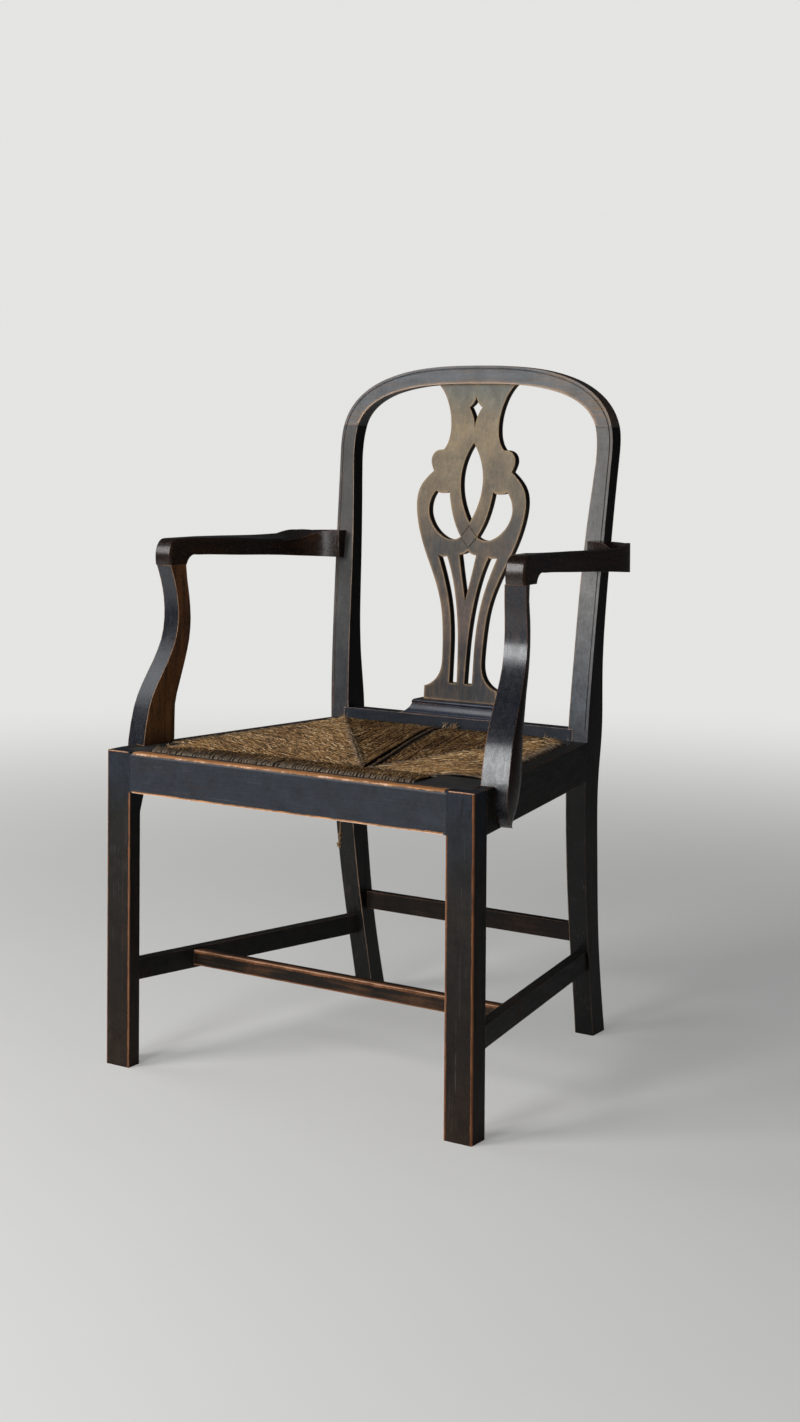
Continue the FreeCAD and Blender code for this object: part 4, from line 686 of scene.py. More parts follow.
class CHAIR_OT_painted_frame(bpy.types.Operator):
    """Worn slate paint on the legs, rails, stretchers, posts and crest"""

    bl_idname = "chair.painted_frame"
    bl_label = "Paint the Frame"

    def execute(self, context):
        tint = context.scene.chair_colours
        slate = Finish(body=tint.paint, thin=tint.paint_brown, edge=tint.bare_edge, pale=tint.pale_edge_and_highlight,
                       wear=0.8, gloss=0.42, bare=0.15, rub=2.6 * MM, shine=0.30)
        leg = slate._replace(body=tint.leg_paint, thin=(0.030, 0.015, 0.008), bare=0.35, gloss=0.5, shine=0.16,
                             edge=(0.21, 0.082, 0.034), pale=(0.48, 0.28, 0.18))
        self.paint_legs(tint, leg)
        self.paint_rails(slate, leg)
        self.paint_hoop(tint, slate)
        shoe = slate._replace(body=(0.020, 0.026, 0.044), gloss=0.30, wear=1.0)
        smoothed(["splat_shoe"], worn_wood("painted_shoe", shoe, "X"))
        return {"FINISHED"}

    def paint_legs(self, tint, leg):
        """Front legs: brown at the foot, slate at the rail, and a crack in the top of the right one."""
        arrises = (Ridge("X", FRONT, LEG_HIGH[2], 2.2 * MM, 1.8 * MM, 1.4 * MM),
                   Ridge("Z", LEG_OUT, FRONT, 2.6 * MM, 2.6 * MM, 0.6 * MM),
                   Ridge("Z", LEG_IN, FRONT, 2.4 * MM, 2.4 * MM, 0.3 * MM))
        tones = ((0.0, (0.020, 0.012, 0.008)), (0.14, tint.leg_paint), (0.30, (0.012, 0.011, 0.010)),
                 (0.42, tint.paint))
        joint = (("X", LEG_IN, RAIL_LOW[2]),)
        crack = (LEG_IN + 0.62 * (LEG_OUT - LEG_IN), LEG_HIGH[2] - 5 * MM, LEG_HIGH[2] - 32 * MM)
        dress(["front_leg_left"], worn_wood("painted_leg", leg, "Z", tones, arrises, joint))
        dress(["front_leg_right"], worn_wood("painted_leg_cracked", leg, "Z", tones, arrises, joint, crack))

    def paint_rails(self, slate, leg):
        """Seat rails and stretchers, with rubbed front arrises."""
        lip = Ridge("X", RAIL_LOW[1], RAIL_HIGH[2], 14.0 * MM, 3.0 * MM, 2.2 * MM)
        foot = Ridge("X", RAIL_LOW[1], RAIL_LOW[2], 3.0 * MM, 2.4 * MM, 0.9 * MM)
        dress(["front_seat_rail"], worn_wood("painted_front_rail", slate, "X", ridges=(lip, foot),
                                             quiet=(("X", LEG_IN, 0.0),)))
        top = Ridge("X", CROSS_LOW[1], CROSS_HIGH[2], 7.0 * MM, 4.0 * MM, 1.5 * MM)
        under = Ridge("X", CROSS_LOW[1], CROSS_LOW[2], 2.0 * MM, 2.0 * MM, 0.5 * MM)
        cross = leg._replace(wear=0.9, thin=(0.07, 0.032, 0.015), bare=0.5)
        dress(["cross_stretcher"], worn_wood("painted_cross", cross, "X", ridges=(top, under)))
        dress(["back_seat_rail"], worn_wood("painted_back_rail", slate._replace(wear=0.0), "X"))
        dress(["back_stretcher"], worn_wood("painted_back_stretcher", leg._replace(wear=0.4), "X"))
        side = leg._replace(body=(0.013, 0.013, 0.012), wear=0.5)
        dress(pair("side_seat_rail") + pair("side_stretcher"), worn_wood("painted_side", side, "Y"))

    def paint_hoop(self, tint, slate):
        """Posts and crest: near black at the foot as painted shade under the seat, slate at the seat and faded
        above, that fade partly painted light; the left post dimmed as painted shade, the right one raised as a
        painted reflection.
        """
        grey = (0.062, 0.068, 0.078)
        post = slate._replace(body=tint.paint_faded_and_painted_light, thin=(0.085, 0.055, 0.040), wear=1.3, gloss=0.40, bare=0.35,
                              rub=4 * MM, edge=(0.38, 0.215, 0.100))
        joint = (("Z", POST_TOP, 0.0),)
        # Painted shade and reflection: the left post's tones are dimmed and the right post's raised; the near
        # black below the seat is painted shade, and so is the dark colour of the faces turned right.
        for side, share in (("left", 0.42), ("right", 1.2)):
            tones = ((0.0, (0.004, 0.004, 0.004)), (0.36, (0.006, 0.006, 0.006)), (0.47, dimmed(grey, share)),
                     (0.62, dimmed((0.122, 0.119, 0.118), share)), (0.80, dimmed(tint.paint_faded_and_painted_light, share)))
            smoothed([f"back_post_{side}"], worn_wood(
                f"painted_post_{side}", post, "Z", tones, quiet=joint, right_face_shade_and_tint=(0.008, 0.006, 0.005), hoop=True,
                halo=(0.17, 0.115, 0.075)))
        crest = post._replace(body=grey, thin=(0.15, 0.100, 0.064), rub=10 * MM, bare=0.45)
        smoothed(["crest_rail"], worn_wood("painted_crest", crest, "X", quiet=joint, hoop=True,
                                           halo=(0.42, 0.26, 0.135)))


class CHAIR_OT_splat(bpy.types.Operator):
    """Faded green, gold and brown paint on the splat"""

    bl_idname = "chair.splat"
    bl_label = "Finish the Splat"

    def execute(self, context):
        tint = context.scene.chair_colours
        look = Finish(body=tint.splat_green, thin=(0.17, 0.110, 0.060), edge=(0.34, 0.205, 0.095),
                      pale=(0.46, 0.30, 0.16), wear=0.9, gloss=0.46, bare=0.45, rub=8 * MM, shine=0.3)
        tones = ((0.48, (0.016, 0.019, 0.026)), (0.58, tint.splat_brown), (0.70, (0.038, 0.036, 0.035)),
                 (0.84, tint.splat_gold), (0.93, tint.splat_green))
        # The splat's faces turned to the right get a near-black colour as painted shade.
        smoothed(["splat"], worn_wood("painted_splat", look, "Z", tones, right_face_shade_and_tint=(0.010, 0.008, 0.006),
                                      halo=(0.30, 0.195, 0.100)))
        return {"FINISHED"}


class CHAIR_OT_arms(bpy.types.Operator):
    """Dark hand-rubbed polish on the arms and their supports"""

    bl_idname = "chair.arms"
    bl_label = "Polish the Arms"

    def execute(self, context):
        polish = context.scene.chair_colours.polish
        look = Finish(body=polish, thin=(0.034, 0.012, 0.006), edge=(0.16, 0.050, 0.016), pale=(0.34, 0.14, 0.06),
                      wear=0.9, gloss=0.27, bare=0.3, rub=2.6 * MM, shine=0.36, coat=0.25)
        dark = look._replace(body=(0.012, 0.013, 0.018), wear=1.3)
        orange = dark._replace(edge=(0.55, 0.24, 0.08), pale=(0.75, 0.42, 0.20), wear=1.6)
        # On the arms and supports, the colour for faces turned to the right is a brown tint.
        for name, finish, grain, nodes, right_face_shade_and_tint in (
                ("polished_arm", look, "Y", pair("arm"), (0.030, 0.012, 0.005)),
                ("polished_support_left", orange, "Z", ["arm_support_left"], (0.24, 0.100, 0.036)),
                ("polished_support_right", dark, "Z", ["arm_support_right"], (0.022, 0.010, 0.006))):
            smoothed(nodes, worn_wood(name, finish, grain, right_face_shade_and_tint=right_face_shade_and_tint))
        return {"FINISHED"}


class CHAIR_OT_hidden_wood(bpy.types.Operator):
    """Plain wood of the seat frame, braces and corner blocks, and the screws"""

    bl_idname = "chair.hidden_wood"
    bl_label = "Finish Blocks and Braces"

    def execute(self, context):
        bare = plain_wood("bare_beech", (0.16, 0.095, 0.045), (0.30, 0.20, 0.10), "Y", 0.7)
        block = plain_wood("stained_block", (0.014, 0.015, 0.017), (0.040, 0.038, 0.036), "X", 0.55)
        dress(pair("corner_brace") + pair("seat_frame") + ["seat_frame_front", "seat_frame_back"], bare)
        dress(pair("seat_block_front") + pair("seat_block_back"), block)
        dress(["arm_screws", "foot_screws"], old_steel("screw_steel"))
        return {"FINISHED"}


# The rush seat. A strand runs under the seat until RIM_FROM of its steps and round the rim until
# RIM_TO. The top falls by DIP to the middle, and the underside by BELLY.
RIM_FROM, RIM_TO = 0.20, 0.34
EDGE_ROUND = 12 * MM
RIM_FALL = 1.8 * MM
DIP = 23 * MM
BELLY = 9 * MM
TUCK = 6 * MM
SHORTEST = 16 * MM
BLOCK_GAP = 0.5 * MM
SWAY = ((5.1, 1.0), (13.0, 0.6))  # turn over the strand and share, sideways
LIFT = ((7.3, 1.0), (17.0, 0.5))  # the same, up and down
BACK_SLIT = -20 * MM
FRONT_SLITS = ((-29 * MM, 7.0 * MM, 30 * MM), (2 * MM, 5.0 * MM, 92 * MM))  # place, width, distance in

# Strands of one panel: at is their place along the rail, edge their starting point in plan, inward and
# along the two directions in plan, length how far each runs in, reach how far the panel does, offset
# how far in from the seat's edge each starts, hand the way of the twist, dusty how far in from the
# rail each is grey, and shift a function that moves them sideways.
Panel = namedtuple("Panel", "at edge inward along length reach offset hand dusty seed shift", defaults=(None,))


def crown_height(share):
    """Height of the top of the rush: it falls with the 1.35th power of the way to the middle."""
    return CROWN_Z - DIP * np.clip((share - 0.1) / 0.9, 0, 1) ** 1.35


def half_width(y):
    """Half width of the seat at a depth."""
    return HALF_FRONT - FLARE * (y - SEAT_FRONT)


def belly_height(share):
    """Height of its underside: it falls with the 1.2th power of the last part of the way."""
    return UNDER_Z - BELLY * np.clip((share - 0.4) / 0.6, 0, 1) ** 1.2


def strand_outline(length, reach, offset, steps):
    """Outer line of each strand in its own upright plane, as distance in and height.

    It runs from the mitre along the underside to the rail, up round the rounded rim, and over the
    crown to the mitre: straight shares of the length below, half a rounded square at the rim, and the
    crown above, raised to a small ridge just before the mitre and tucked under it at the end.
    """
    way = np.linspace(0, 1, steps)[None, :]
    far = length + TUCK
    low_in = far - (far - EDGE_ROUND) * np.clip(way / RIM_FROM, 0, 1)
    angle = np.pi * np.clip((way - RIM_FROM) / (RIM_TO - RIM_FROM), 0, 1)
    top_in = EDGE_ROUND + (far - EDGE_ROUND) * np.clip((way - RIM_TO) / (1 - RIM_TO), 0, 1)
    bend_in = EDGE_ROUND * (1 - np.abs(np.sin(angle)) ** 0.75)
    distance = np.where(way < RIM_FROM, low_in, np.where(way < RIM_TO, bend_in, top_in))
    share = (distance + offset) / reach
    under = belly_height(share)
    over = crown_height(share) - RIM_FALL * bell(distance - EDGE_ROUND, 16 * MM)
    rim = (under + over) / 2 - (over - under) / 2 * np.cos(angle)
    height = np.where(way < RIM_FROM, under, np.where(way < RIM_TO, rim, over))
    past = smooth_step((distance - length + 1 * MM) / TUCK)
    ridge = bell(distance - length + 3 * MM, 5 * MM)
    return distance, np.where(way > RIM_TO, height + 1.3 * MM * ridge - 8 * MM * past, height + 3 * MM * past)


def waves(way, terms, phase):
    """Sines along a strand, each with its turn, its share and a start of its own."""
    return sum(share * np.sin(way * turn + phase[:, k:k + 1]) for k, (turn, share) in enumerate(terms))


def wind_panel(name, panel, sizes):
    """One panel of strands, with their middle lines and outward directions.

    A strand is a tube whose radius swells twice round it, and the swelling turns by one twist per
    twist length. Slow waves move it up, down and sideways.
    """
    rng = np.random.default_rng(panel.seed)
    count, steps = len(panel.at), sizes.steps
    length, reach, offset, dusty = (np.broadcast_to(values, count)[:, None] for values in (
        panel.length, panel.reach, panel.offset, panel.dusty))
    distance, height = strand_outline(length, reach, offset, steps)
    way = np.linspace(0, 1, steps)[None, :]
    phase = rng.uniform(0, 2 * np.pi, (count, 4))
    lift = waves(way, LIFT, phase[:, 2:]) + rng.normal(0, 0.7, (count, 1))
    aside = sizes.wave * 0.8 * waves(way, SWAY, phase)
    if panel.shift:
        aside = aside + panel.shift(panel.at, distance)
    inward, along, up = (np.array(v, float)[None, None, :] for v in (panel.inward, panel.along, (0, 0, 1)))
    centre = panel.edge[:, None, :] + inward * distance[..., None] + up * height[..., None]
    tangent = unit(np.gradient(centre, axis=1))
    outward = unit(np.cross(along, tangent))
    outward = outward * np.where(outward[:, -12:-11, 2:3] < 0, -1.0, 1.0)
    radius = sizes.radius * rng.uniform(0.86, 1.08, (count, 1, 1))
    centre = centre + outward * (sizes.wave * 0.55 * (lift[..., None] - 1.0) - radius * 1.15)
    centre = centre + along * aside[..., None]
    length_on = np.cumsum(np.linalg.norm(np.diff(centre, axis=1, prepend=centre[:, :1]), axis=2), axis=1)
    theta = circle(sizes.sides)
    spin = 2 * np.pi * panel.hand * length_on[..., None] / sizes.twist + phase[:, :1, None]
    swell = radius * (1 + 0.17 * np.cos(2 * (theta - spin)) + 0.05 * np.cos(3 * theta + spin * 2))
    points = centre[:, :, None, :] + rings(outward, np.cross(tangent, outward), theta) * swell[..., None]
    quads, caps = tube_faces(count, steps, sizes.sides)
    rim_dirt = bell(np.clip(distance - 2 * MM, 0, None), dusty)
    joint_dirt = 0.75 * bell(length - distance, 7 * MM)
    maps = tube_maps(length_on, theta - spin, theta, rng.uniform(0, 1, count), np.maximum(rim_dirt, joint_dirt))
    return put_mesh(name, points, quads.tolist() + caps.tolist(), maps), centre, outward


def rail_places(low, high, pitch, seed):
    """Places of the strands along a rail, evenly packed with small random steps."""
    rng = np.random.default_rng(seed)
    count = int((high - low) / pitch)
    even = low + (np.arange(count) + 0.5) * (high - low) / count
    return even + rng.normal(0, 0.07, count) * pitch


def plan_points(x, y):
    """Points of the plan from their places across and in depth."""
    x, y = np.broadcast_arrays(x, y)
    return np.stack([x, y, np.zeros_like(x)], -1)


def across_length(x, half, depth, lean):
    """How far a strand runs in from a front or back rail before it crosses the mitre on its own side."""
    left = (half + x) / ((half + MEET_X) / depth - lean)
    right = (half - x) / ((half - MEET_X) / depth + lean)
    return np.maximum(np.minimum(left, right), SHORTEST)


def mitre_width(side, depth, whole, half):
    """Distance from the centre line to the mitre at a depth in from a rail whose half width is given."""
    return half - (half - side * MEET_X) * depth / whole


def back_lean(x):
    """How far the back strands lean to the right as they come forward, most in the middle."""
    return 0.17 * (1 - (x / HALF_BACK) ** 2)


def front_shift(at, distance):
    """Front strands part at two slits: away from each by a bell across and a bell along it."""
    shift = np.zeros_like(distance)
    for place, wide, deep in FRONT_SLITS:
        apart = bell(at - place, 14 * MM) * np.sign(at - place) * wide
        shift = shift + apart[:, None] * bell(distance - deep, 20 * MM)
    return shift


def back_shift(at, distance):
    """Back strands lean, and part on both sides of a lone one."""
    part = np.sign(at - BACK_SLIT) * 2.6 * MM * bell(at - BACK_SLIT, 20 * MM)
    return back_lean(at)[:, None] * distance + part[:, None]


class CHAIR_OT_rush_seat(bpy.types.Operator):
    """Winds the four panels of twisted rush round the seat frame"""

    bl_idname = "chair.rush_seat"
    bl_label = "Wind the Rush Seat"

    def execute(self, context):
        sizes = context.scene.chair_rush
        tint = context.scene.chair_colours
        panels = {"front": self.front_panel(sizes), "back": self.back_panel(sizes),
                  "right": self.side_panel(sizes, 1, RIGHT_BLOCK, 11),
                  "left": self.side_panel(sizes, -1, LEFT_BLOCK, 13)}
        made = {}
        rush = rush_material(tint)
        for title, panel in panels.items():
            made[title] = wind_panel(f"rush_strands_{title}", panel, sizes)
            piece = made[title][0]
            piece.data.materials.append(rush)
            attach(piece, SEAT_BODY)
            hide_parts(f"rush_{title}")
        # Painted shade: the padding's near-black wood stands for the shade in the gaps between strands.
        dark = plain_wood("rush_stuffing", (0.010, 0.007, 0.004), (0.035, 0.023, 0.012), "X", 0.9)
        for piece, look in ((loose_fibres(made, sizes), reed_material(tint)), (rush_stuffing(), dark)):
            piece.data.materials.append(look)
            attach(piece, SEAT_BODY)
        return {"FINISHED"}

    def front_panel(self, sizes):
        """Straight strands between the two front blocks, dusty further in on the left."""
        x = rail_places(LEFT_BLOCK[1][0] + BLOCK_GAP, RIGHT_BLOCK[0][0] - BLOCK_GAP, sizes.pitch, 3)
        depth = MEET_Y - SEAT_FRONT
        dusty = (24 - 14 * smooth_step((x + 60 * MM) / (160 * MM))) * MM
        return Panel(x, plan_points(x, SEAT_FRONT), (0, 1, 0), (1, 0, 0), across_length(x, HALF_FRONT, depth, 0.0),
                     depth, 0.0, -1, dusty, 5, front_shift)

    def back_panel(self, sizes):
        """Leaning strands between the back blocks, with a lone dusty one in a slit."""
        half = HALF_BACK - (BACK_BLOCK[1][1] - BACK_BLOCK[0][1])
        x = rail_places(-half, half, sizes.pitch, 7)
        x = np.sort(np.append(x[np.abs(x - BACK_SLIT) > 5.5 * MM], BACK_SLIT))
        depth = SEAT_BACK - MEET_Y
        dusty = np.where(x == BACK_SLIT, 400 * MM, 7 * MM)
        return Panel(x, plan_points(x, SEAT_BACK), (0, -1, 0), (1, 0, 0),
                     across_length(x, HALF_BACK, depth, back_lean(x)), depth, 0.0, 1, dusty, 9, back_shift)

    def side_panel(self, sizes, side, block, seed):
        """Strands from a side rail, the first few from the inner end of the front block."""
        front, back = MEET_Y - SEAT_FRONT, SEAT_BACK - MEET_Y
        inner = min(abs(block[0][0]), abs(block[1][0]))
        start = SEAT_FRONT + front * (1 - inner / HALF_FRONT) + 3 * MM
        y = rail_places(start, BACK_BLOCK[0][1] - BLOCK_GAP, sizes.pitch, seed)
        rail_x = half_width(y)
        begin_x = np.where(y < block[1][1] + 2 * BLOCK_GAP, inner - BLOCK_GAP, rail_x)
        mitre = np.where(y < MEET_Y, mitre_width(side, y - SEAT_FRONT, front, HALF_FRONT),
                         mitre_width(side, SEAT_BACK - y, back, HALF_BACK))
        return Panel(y, plan_points(side * begin_x, y), (-side, 0, 0), (0, 1, 0),
                     np.maximum(begin_x - mitre, SHORTEST), half_width(MEET_Y) - side * MEET_X,
                     rail_x - begin_x, -side, 13 * MM, seed + 20)


def rush_stuffing():
    """Padding between the layers of rush, near black as painted shade seen between the strands: two grids
    over the plan of the seat, a little inside the strands, that follow the crown above and the belly below and
    close at the edge."""
    inset, thin = 13 * MM, 6.5 * MM
    u, v = np.meshgrid(np.linspace(-1, 1, 61), np.linspace(0, 1, 41), indexing="ij")
    y = SEAT_FRONT + inset + v * (SEAT_BACK - SEAT_FRONT - 2 * inset)
    half = half_width(y) - inset
    corner = np.clip((np.abs(u) * half - (RIGHT_BLOCK[0][0] - 4 * MM)) / MM, 0, 1)
    y = np.maximum(y, SEAT_FRONT + inset + corner * (RIGHT_BLOCK[1][1] - SEAT_FRONT))
    x = u * half
    from_side = (half_width(y) - np.abs(x)) / half_width(MEET_Y)
    from_front = (y - SEAT_FRONT) / (MEET_Y - SEAT_FRONT)
    from_back = (SEAT_BACK - y) / (SEAT_BACK - MEET_Y)
    share = np.minimum(np.minimum(from_front, from_back), from_side)
    close = np.minimum(np.minimum(1 - np.abs(u), np.minimum(v, 1 - v)) * 12, 1)
    over = crown_height(share) - thin
    under = belly_height(share) + thin
    middle = (over + under) / 2
    over = middle + np.maximum(over - middle, 0.5 * MM) * close
    under = middle + np.minimum(under - middle, -0.5 * MM) * close
    points = np.concatenate([np.stack([x, y, z], -1).reshape(-1, 3) for z in (over, under)])
    rows, columns = u.shape
    i, j = np.meshgrid(np.arange(rows - 1), np.arange(columns - 1), indexing="ij")
    base = (i * columns + j).ravel()
    top = np.stack([base, base + columns, base + columns + 1, base + 1], -1)
    bottom = top[:, ::-1] + rows * columns
    ring = np.concatenate([np.arange(columns), columns * np.arange(1, rows) + columns - 1,
                           columns * (rows - 1) + np.arange(columns - 2, -1, -1),
                           columns * np.arange(rows - 2, 0, -1)])
    after = np.roll(ring, -1)
    walls = np.stack([ring, after, after + rows * columns, ring + rows * columns], -1)
    return put_mesh("rush_stuffing", points, np.concatenate([top, bottom, walls]).tolist())


# Broken reeds: the share on each panel and how far they are turned from its strands.
REEDS = (("left", 0.42, 0.42), ("back", 0.26, 0.12), ("front", 0.12, -0.4), ("right", 0.14, -0.4))
STRAY_REEDS = 18


def loose_fibres(made, sizes):
    """Thin broken reeds on the seat: short three-sided tubes that follow a strand, turned a little
    from it and lifted at one end by a half wave. A few stand up at the back, before the splat."""
    rng = np.random.default_rng(41)
    steps, sides = 5, 3
    starts, ways, ups, turns = [], [], [], []
    for title, share, turned in REEDS:
        _, centre, outward = made[title]
        count = int(sizes.fibres * share)
        k = rng.integers(0, centre.shape[0], count)
        i = rng.integers(int(centre.shape[1] * 0.42), centre.shape[1] - 8, count)
        here = centre[k, i]
        starts.append(here + outward[k, i] * sizes.radius * 1.12)
        ways.append(unit(centre[k, i + 2] - here))
        ups.append(outward[k, i])
        turns.append(np.full(count, turned))
    stray = STRAY_REEDS
    starts.append(np.stack([rng.uniform(-16, 8, stray) * MM, SEAT_BACK + rng.uniform(-9.5, -4.5, stray) * MM,
                            np.full(stray, CROWN_Z - 2 * MM)], -1))
    ways.append(unit(np.stack([rng.normal(0.3, 0.5, stray), rng.uniform(-0.2, 0.5, stray), np.ones(stray)], -1)))
    ups.append(np.tile((0.0, -1.0, 0.0), (stray, 1)))
    turns.append(np.zeros(stray))
    start, way, up = (np.concatenate(v) for v in (starts, ways, ups))
    count = len(start)
    angle = np.concatenate(turns)[:, None] + rng.normal(0, 0.16, (count, 1))
    way = unit(way * np.cos(angle) + np.cross(way, up) * np.sin(angle))
    across = np.cross(way, up)
    size = rng.uniform(7, 23, (count, 1)) * MM
    thick = rng.uniform(0.25, 0.55, (count, 1, 1)) * MM
    bow = rng.normal(0, 0.12, (count, 1))
    tip = rng.uniform(0.0, 1.8, (count, 1)) * MM
    t = np.linspace(-0.5, 0.5, steps)[None, :]
    centre = (start[:, None, :] + way[:, None, :] * (t * size)[..., None]
              + across[:, None, :] * (bow * size * (0.25 - t * t))[..., None]
              + up[:, None, :] * (tip * np.clip(t + 0.1, 0, 1) ** 1.5 - 0.05 * MM)[..., None])
    theta = circle(sides)
    taper = (1 - 0.75 * (2 * np.abs(t)) ** 3)[..., None]
    points = centre[:, :, None, :] + rings(up[:, None, :], across[:, None, :], theta) * (thick * taper)[..., None]
    quads, caps = tube_faces(count, steps, sides)
    along = np.broadcast_to((t + 0.5) * size, (count, steps))
    around = np.broadcast_to(theta, (count, steps, sides))
    maps = tube_maps(along, around, theta, rng.uniform(0, 1, count), np.zeros((count, steps)))
    return put_mesh("loose_rush_fibres", points, quads[:, ::-1].tolist() + caps[:, ::-1].tolist(), maps)


# The broken rush end that hangs under the back left corner: millimetres in from that corner of the
# seat and forward from its back, and the share of the way down.
TAIL_ROUTE = ((22, 39, 0), (21.5, 38, 0.16), (18.5, 34, 0.36), (16.5, 29, 0.58), (17.5, 26.5, 0.8), (14, 26, 1.0))
TAIL_TOP = 408.3 * MM
TAIL_LONG = 168 * MM
TAIL_THICK = 3.2 * MM
KNOTS = ((18, 2.9, 1.25), (4, 3.4, 1.35))  # distance from the end, radius and thickness, millimetres
KNOT_TALL = 9
FRAYED_ENDS = 9


class CHAIR_OT_loose_end(bpy.types.Operator):
    """Hangs the broken rush end with its knots"""

    bl_idname = "chair.loose_end"
    bl_label = "Hang the Loose End"

    def execute(self, context):
        route = [(-HALF_BACK + x * MM, SEAT_BACK - y * MM, TAIL_TOP - TAIL_LONG * down)
                 for x, y, down in TAIL_ROUTE]
        line = bpy.data.curves.new("loose_rush_strand", "CURVE")
        line.dimensions = "3D"
        spline = line.splines.new("NURBS")
        spline.points.add(len(route) - 1)
        for point, place in zip(spline.points, route):
            point.co = (*place, 1.0)
        spline.order_u = 3
        spline.use_endpoint_u = True
        line.bevel_depth = TAIL_THICK / 2
        line.bevel_resolution = 2
        line.resolution_u = 12
        line.use_fill_caps = True
        strand = put_object("loose_rush_strand", line)
        knots = rush_knots(route)
        dry = plain_wood("loose_rush", (0.075, 0.045, 0.022), (0.30, 0.19, 0.09), "Z", 0.8)
        for piece in (strand, knots):
            piece.data.materials.append(dry)
            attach(piece, SEAT_BODY)
        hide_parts("loose_rush_end")
        return {"FINISHED"}


def rush_knots(route):
    """Two knots near the end: a thin tube that winds three times round the strand, its radius
    from the strand rising and falling by a half sine, with frayed ends spread below."""
    rng = np.random.default_rng(17)
    end, before = np.array(route[-1]), np.array(route[-2])
    way = unit(end - before)
    side = unit(np.cross(way, np.array([0.0, 1.0, 0.0])))
    front = np.cross(way, side)
    steps, sides = 60, 6
    t = np.linspace(0, 1, steps)
    lines = []
    for back, wide, _ in KNOTS:
        turn = t * 2 * np.pi * 3.2
        out = (1.0 + (wide - 1.0) * np.sin(np.pi * t)) * MM
        centre = end + way * (((t - 0.5) * KNOT_TALL + 1.2 * np.sin(turn * 0.7) - back) * MM)[:, None]
        lines.append(centre + (side * np.cos(turn)[:, None] + front * np.sin(turn)[:, None]) * out[:, None])
    for _ in range(FRAYED_ENDS):
        angle = rng.uniform(0, 2 * np.pi)
        reach = rng.uniform(1.2, 4.5) * MM
        drop = rng.uniform(2, 6) * MM
        lean = side * math.cos(angle) + front * math.sin(angle)
        lines.append(end - way * 4 * MM + lean * (reach * t ** 1.5)[:, None] + way * (drop * t)[:, None])
    centre = np.array(lines)
    tangent = unit(np.gradient(centre, axis=1))
    normal = unit(np.cross(tangent, np.broadcast_to(way + 0.01, tangent.shape)))
    thick = np.array([size for _, _, size in KNOTS] + [0.35] * FRAYED_ENDS)[:, None, None, None] * MM
    points = centre[:, :, None, :] + rings(normal, np.cross(tangent, normal), circle(sides)) * thick
    quads, caps = tube_faces(len(lines), steps, sides)
    return put_mesh("loose_rush_knots", points, quads.tolist() + caps.tolist())


# Soft rectangular lights: the stage's power, place, width, height and colour.
LIGHTS = (
    ("window", "key", (-1.55, -2.45, 1.85), 1.3, 1.5, (1.0, 0.985, 0.965)),
    ("door", "door", (-0.12, -2.85, 1.15), 0.8, 0.85, (0.96, 0.985, 1.0)),
    ("side_window", "side", (-2.6, -0.3, 1.7), 1.4, 1.6, (0.93, 0.97, 1.0)),
    ("fill", "fill", (2.4, -0.6, 1.6), 1.8, 1.8, (0.95, 0.97, 1.0)),
)
LIT_POINT = Vector((0.0, 0.0, 0.55))
FLOOR_HALF = 30.0
SENSOR = 36.0
LENS_SHIFT = (0.0054, -0.1785)


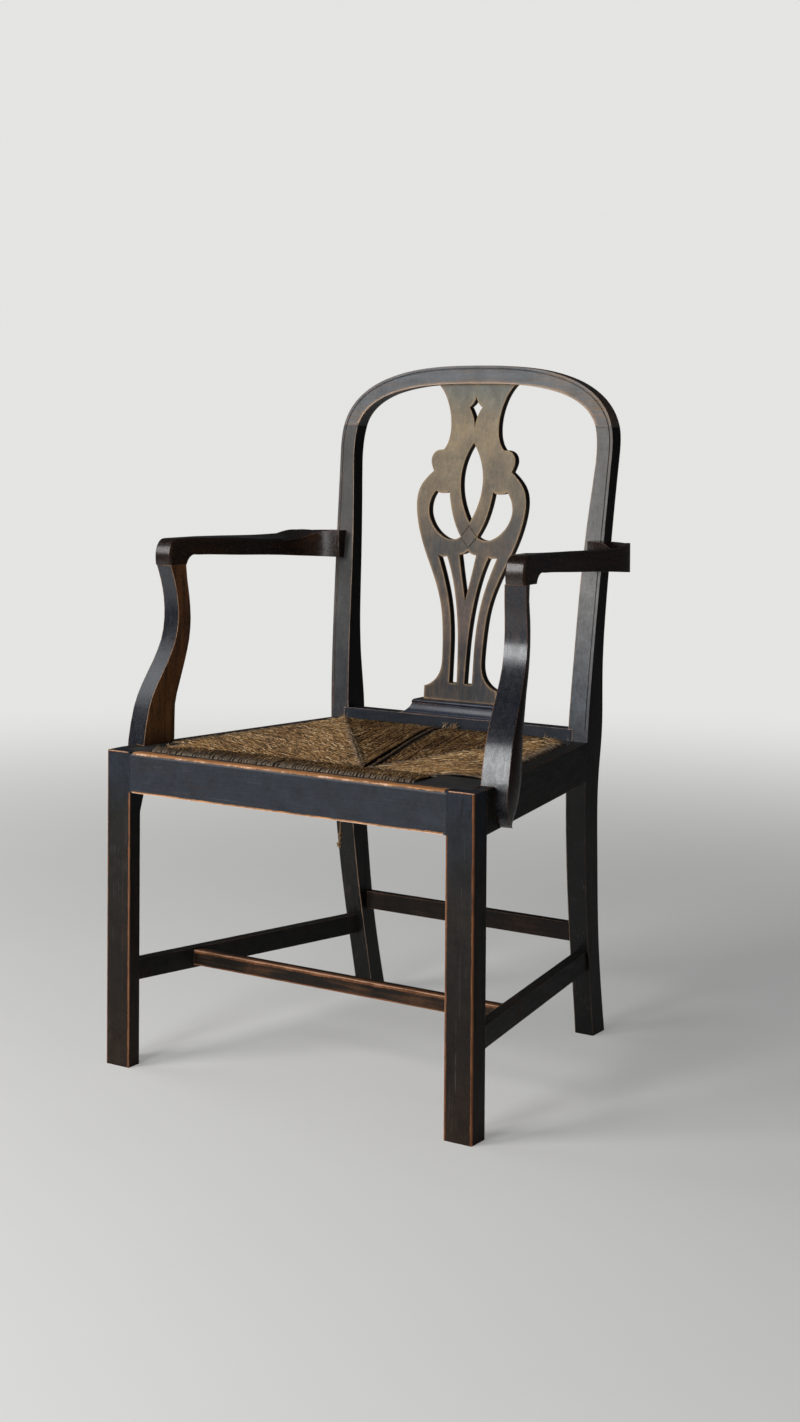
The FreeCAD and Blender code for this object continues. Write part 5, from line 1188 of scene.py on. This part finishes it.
class CHAIR_OT_stage(bpy.types.Operator):
    """Pale floor, soft light and the camera"""

    bl_idname = "chair.stage"
    bl_label = "Set the Stage"

    def execute(self, context):
        scene = context.scene
        stage = scene.chair_stage
        scene.view_settings.view_transform = "Standard"
        self.lay_floor(stage)
        self.light_room(scene, stage)
        self.place_camera(scene, stage)
        return {"FINISHED"}

    def lay_floor(self, stage):
        """A wide pale floor that keeps the shadow near the chair and fades to the backdrop far off."""
        corners = np.array([[-1, -1, 0], [1, -1, 0], [1, 1, 0], [-1, 1, 0]]) * FLOOR_HALF
        floor = put_mesh("floor", corners, [[0, 1, 2, 3]], smooth=False)
        material, graph, shader = new_material("pale_floor")
        place = graph.place()
        pale = graph.mix(graph.noise(place, 3.0, 3.0), (0.80, 0.79, 0.77), (0.84, 0.83, 0.81))
        graph.fill(shader, {"Base Color": pale, "Roughness": 0.9})
        out = graph.value("VectorMath", "Value", {0: place}, operation="LENGTH")
        far = out.ramp(0.9, 3.6) * 0.72 + 0.28
        glow = graph.value("Emission", 0, {"Color": stage.backdrop})
        lit = Value(graph, shader.outputs["BSDF"])
        blend = graph.value("MixShader", 0, {0: far * graph.seen(), 1: lit, 2: glow})
        graph.fill(graph.output, {"Surface": blend})
        floor.data.materials.append(material)

    def light_room(self, scene, stage):
        """Even room light, a pale backdrop seen by the camera alone, and four soft lights."""
        world = bpy.data.worlds.new("soft_room")
        scene.world = world
        world.use_nodes = True
        graph = Graph(world.node_tree, "OutputWorld")
        room = graph.value("Background", 0, {"Color": (0.86, 0.89, 0.95), "Strength": stage.sky})
        backdrop = graph.value("Background", 0, {"Color": stage.backdrop})
        choose = graph.value("MixShader", 0, {0: graph.seen(), 1: room, 2: backdrop})
        graph.fill(graph.output, {"Surface": choose})
        for name, power, place, width, height, colour in LIGHTS:
            lamp = bpy.data.lights.new(name, "AREA")
            lamp.shape = "RECTANGLE"
            lamp.size = width
            lamp.size_y = height
            lamp.energy = getattr(stage, power)
            lamp.color = colour
            way = (LIT_POINT - Vector(place)).to_track_quat("-Z", "Y").to_matrix().to_4x4()
            put_object(name, lamp).matrix_world = Matrix.Translation(place) @ way

    def place_camera(self, scene, stage):
        """The camera at the photograph's place, with the shift that its framing needs."""
        lens = bpy.data.cameras.new("camera")
        lens.lens = stage.lens
        lens.sensor_width = SENSOR
        lens.sensor_fit = "AUTO"
        lens.shift_x, lens.shift_y = LENS_SHIFT
        lens.clip_start = 0.05
        lens.clip_end = 100.0
        camera = put_object("camera", lens)
        turned = Matrix.Rotation(stage.turn, 4, "Z") @ Matrix.Rotation(math.pi / 2 - stage.tilt, 4, "X")
        turned = turned @ Matrix.Rotation(stage.roll, 4, "Z")
        camera.matrix_world = Matrix.Translation(tuple(stage.place)) @ turned
        scene.camera = camera


STEPS = ("painted_frame", "splat", "arms", "hidden_wood", "rush_seat", "loose_end", "stage")


class CHAIR_PT_panel(bpy.types.Panel):
    """Colours, sizes and steps of the armchair"""

    bl_label = "Armchair"
    bl_idname = "CHAIR_PT_panel"
    bl_space_type = "VIEW_3D"
    bl_region_type = "UI"
    bl_category = "Armchair"

    def draw(self, context):
        layout = self.layout
        for group in (context.scene.chair_colours, context.scene.chair_rush, context.scene.chair_stage):
            box = layout.box()
            for name in group.__annotations__:
                box.prop(group, name)
        for name in STEPS:
            layout.operator(f"chair.{name}")


CLASSES = (
    ChairColours,
    RushSizes,
    StageSettings,
    CHAIR_OT_painted_frame,
    CHAIR_OT_splat,
    CHAIR_OT_arms,
    CHAIR_OT_hidden_wood,
    CHAIR_OT_rush_seat,
    CHAIR_OT_loose_end,
    CHAIR_OT_stage,
    CHAIR_PT_panel,
)


def register():
    for item in CLASSES:
        bpy.utils.register_class(item)
    bpy.types.Scene.chair_colours = PointerProperty(type=ChairColours)
    bpy.types.Scene.chair_rush = PointerProperty(type=RushSizes)
    bpy.types.Scene.chair_stage = PointerProperty(type=StageSettings)


def unregister():
    del bpy.types.Scene.chair_colours
    del bpy.types.Scene.chair_rush
    del bpy.types.Scene.chair_stage
    for item in reversed(CLASSES):
        bpy.utils.unregister_class(item)


def main():
    """Makes every piece in order."""
    register()
    for name in STEPS:
        getattr(bpy.ops.chair, name)()


if __name__ == "__main__":
    main()
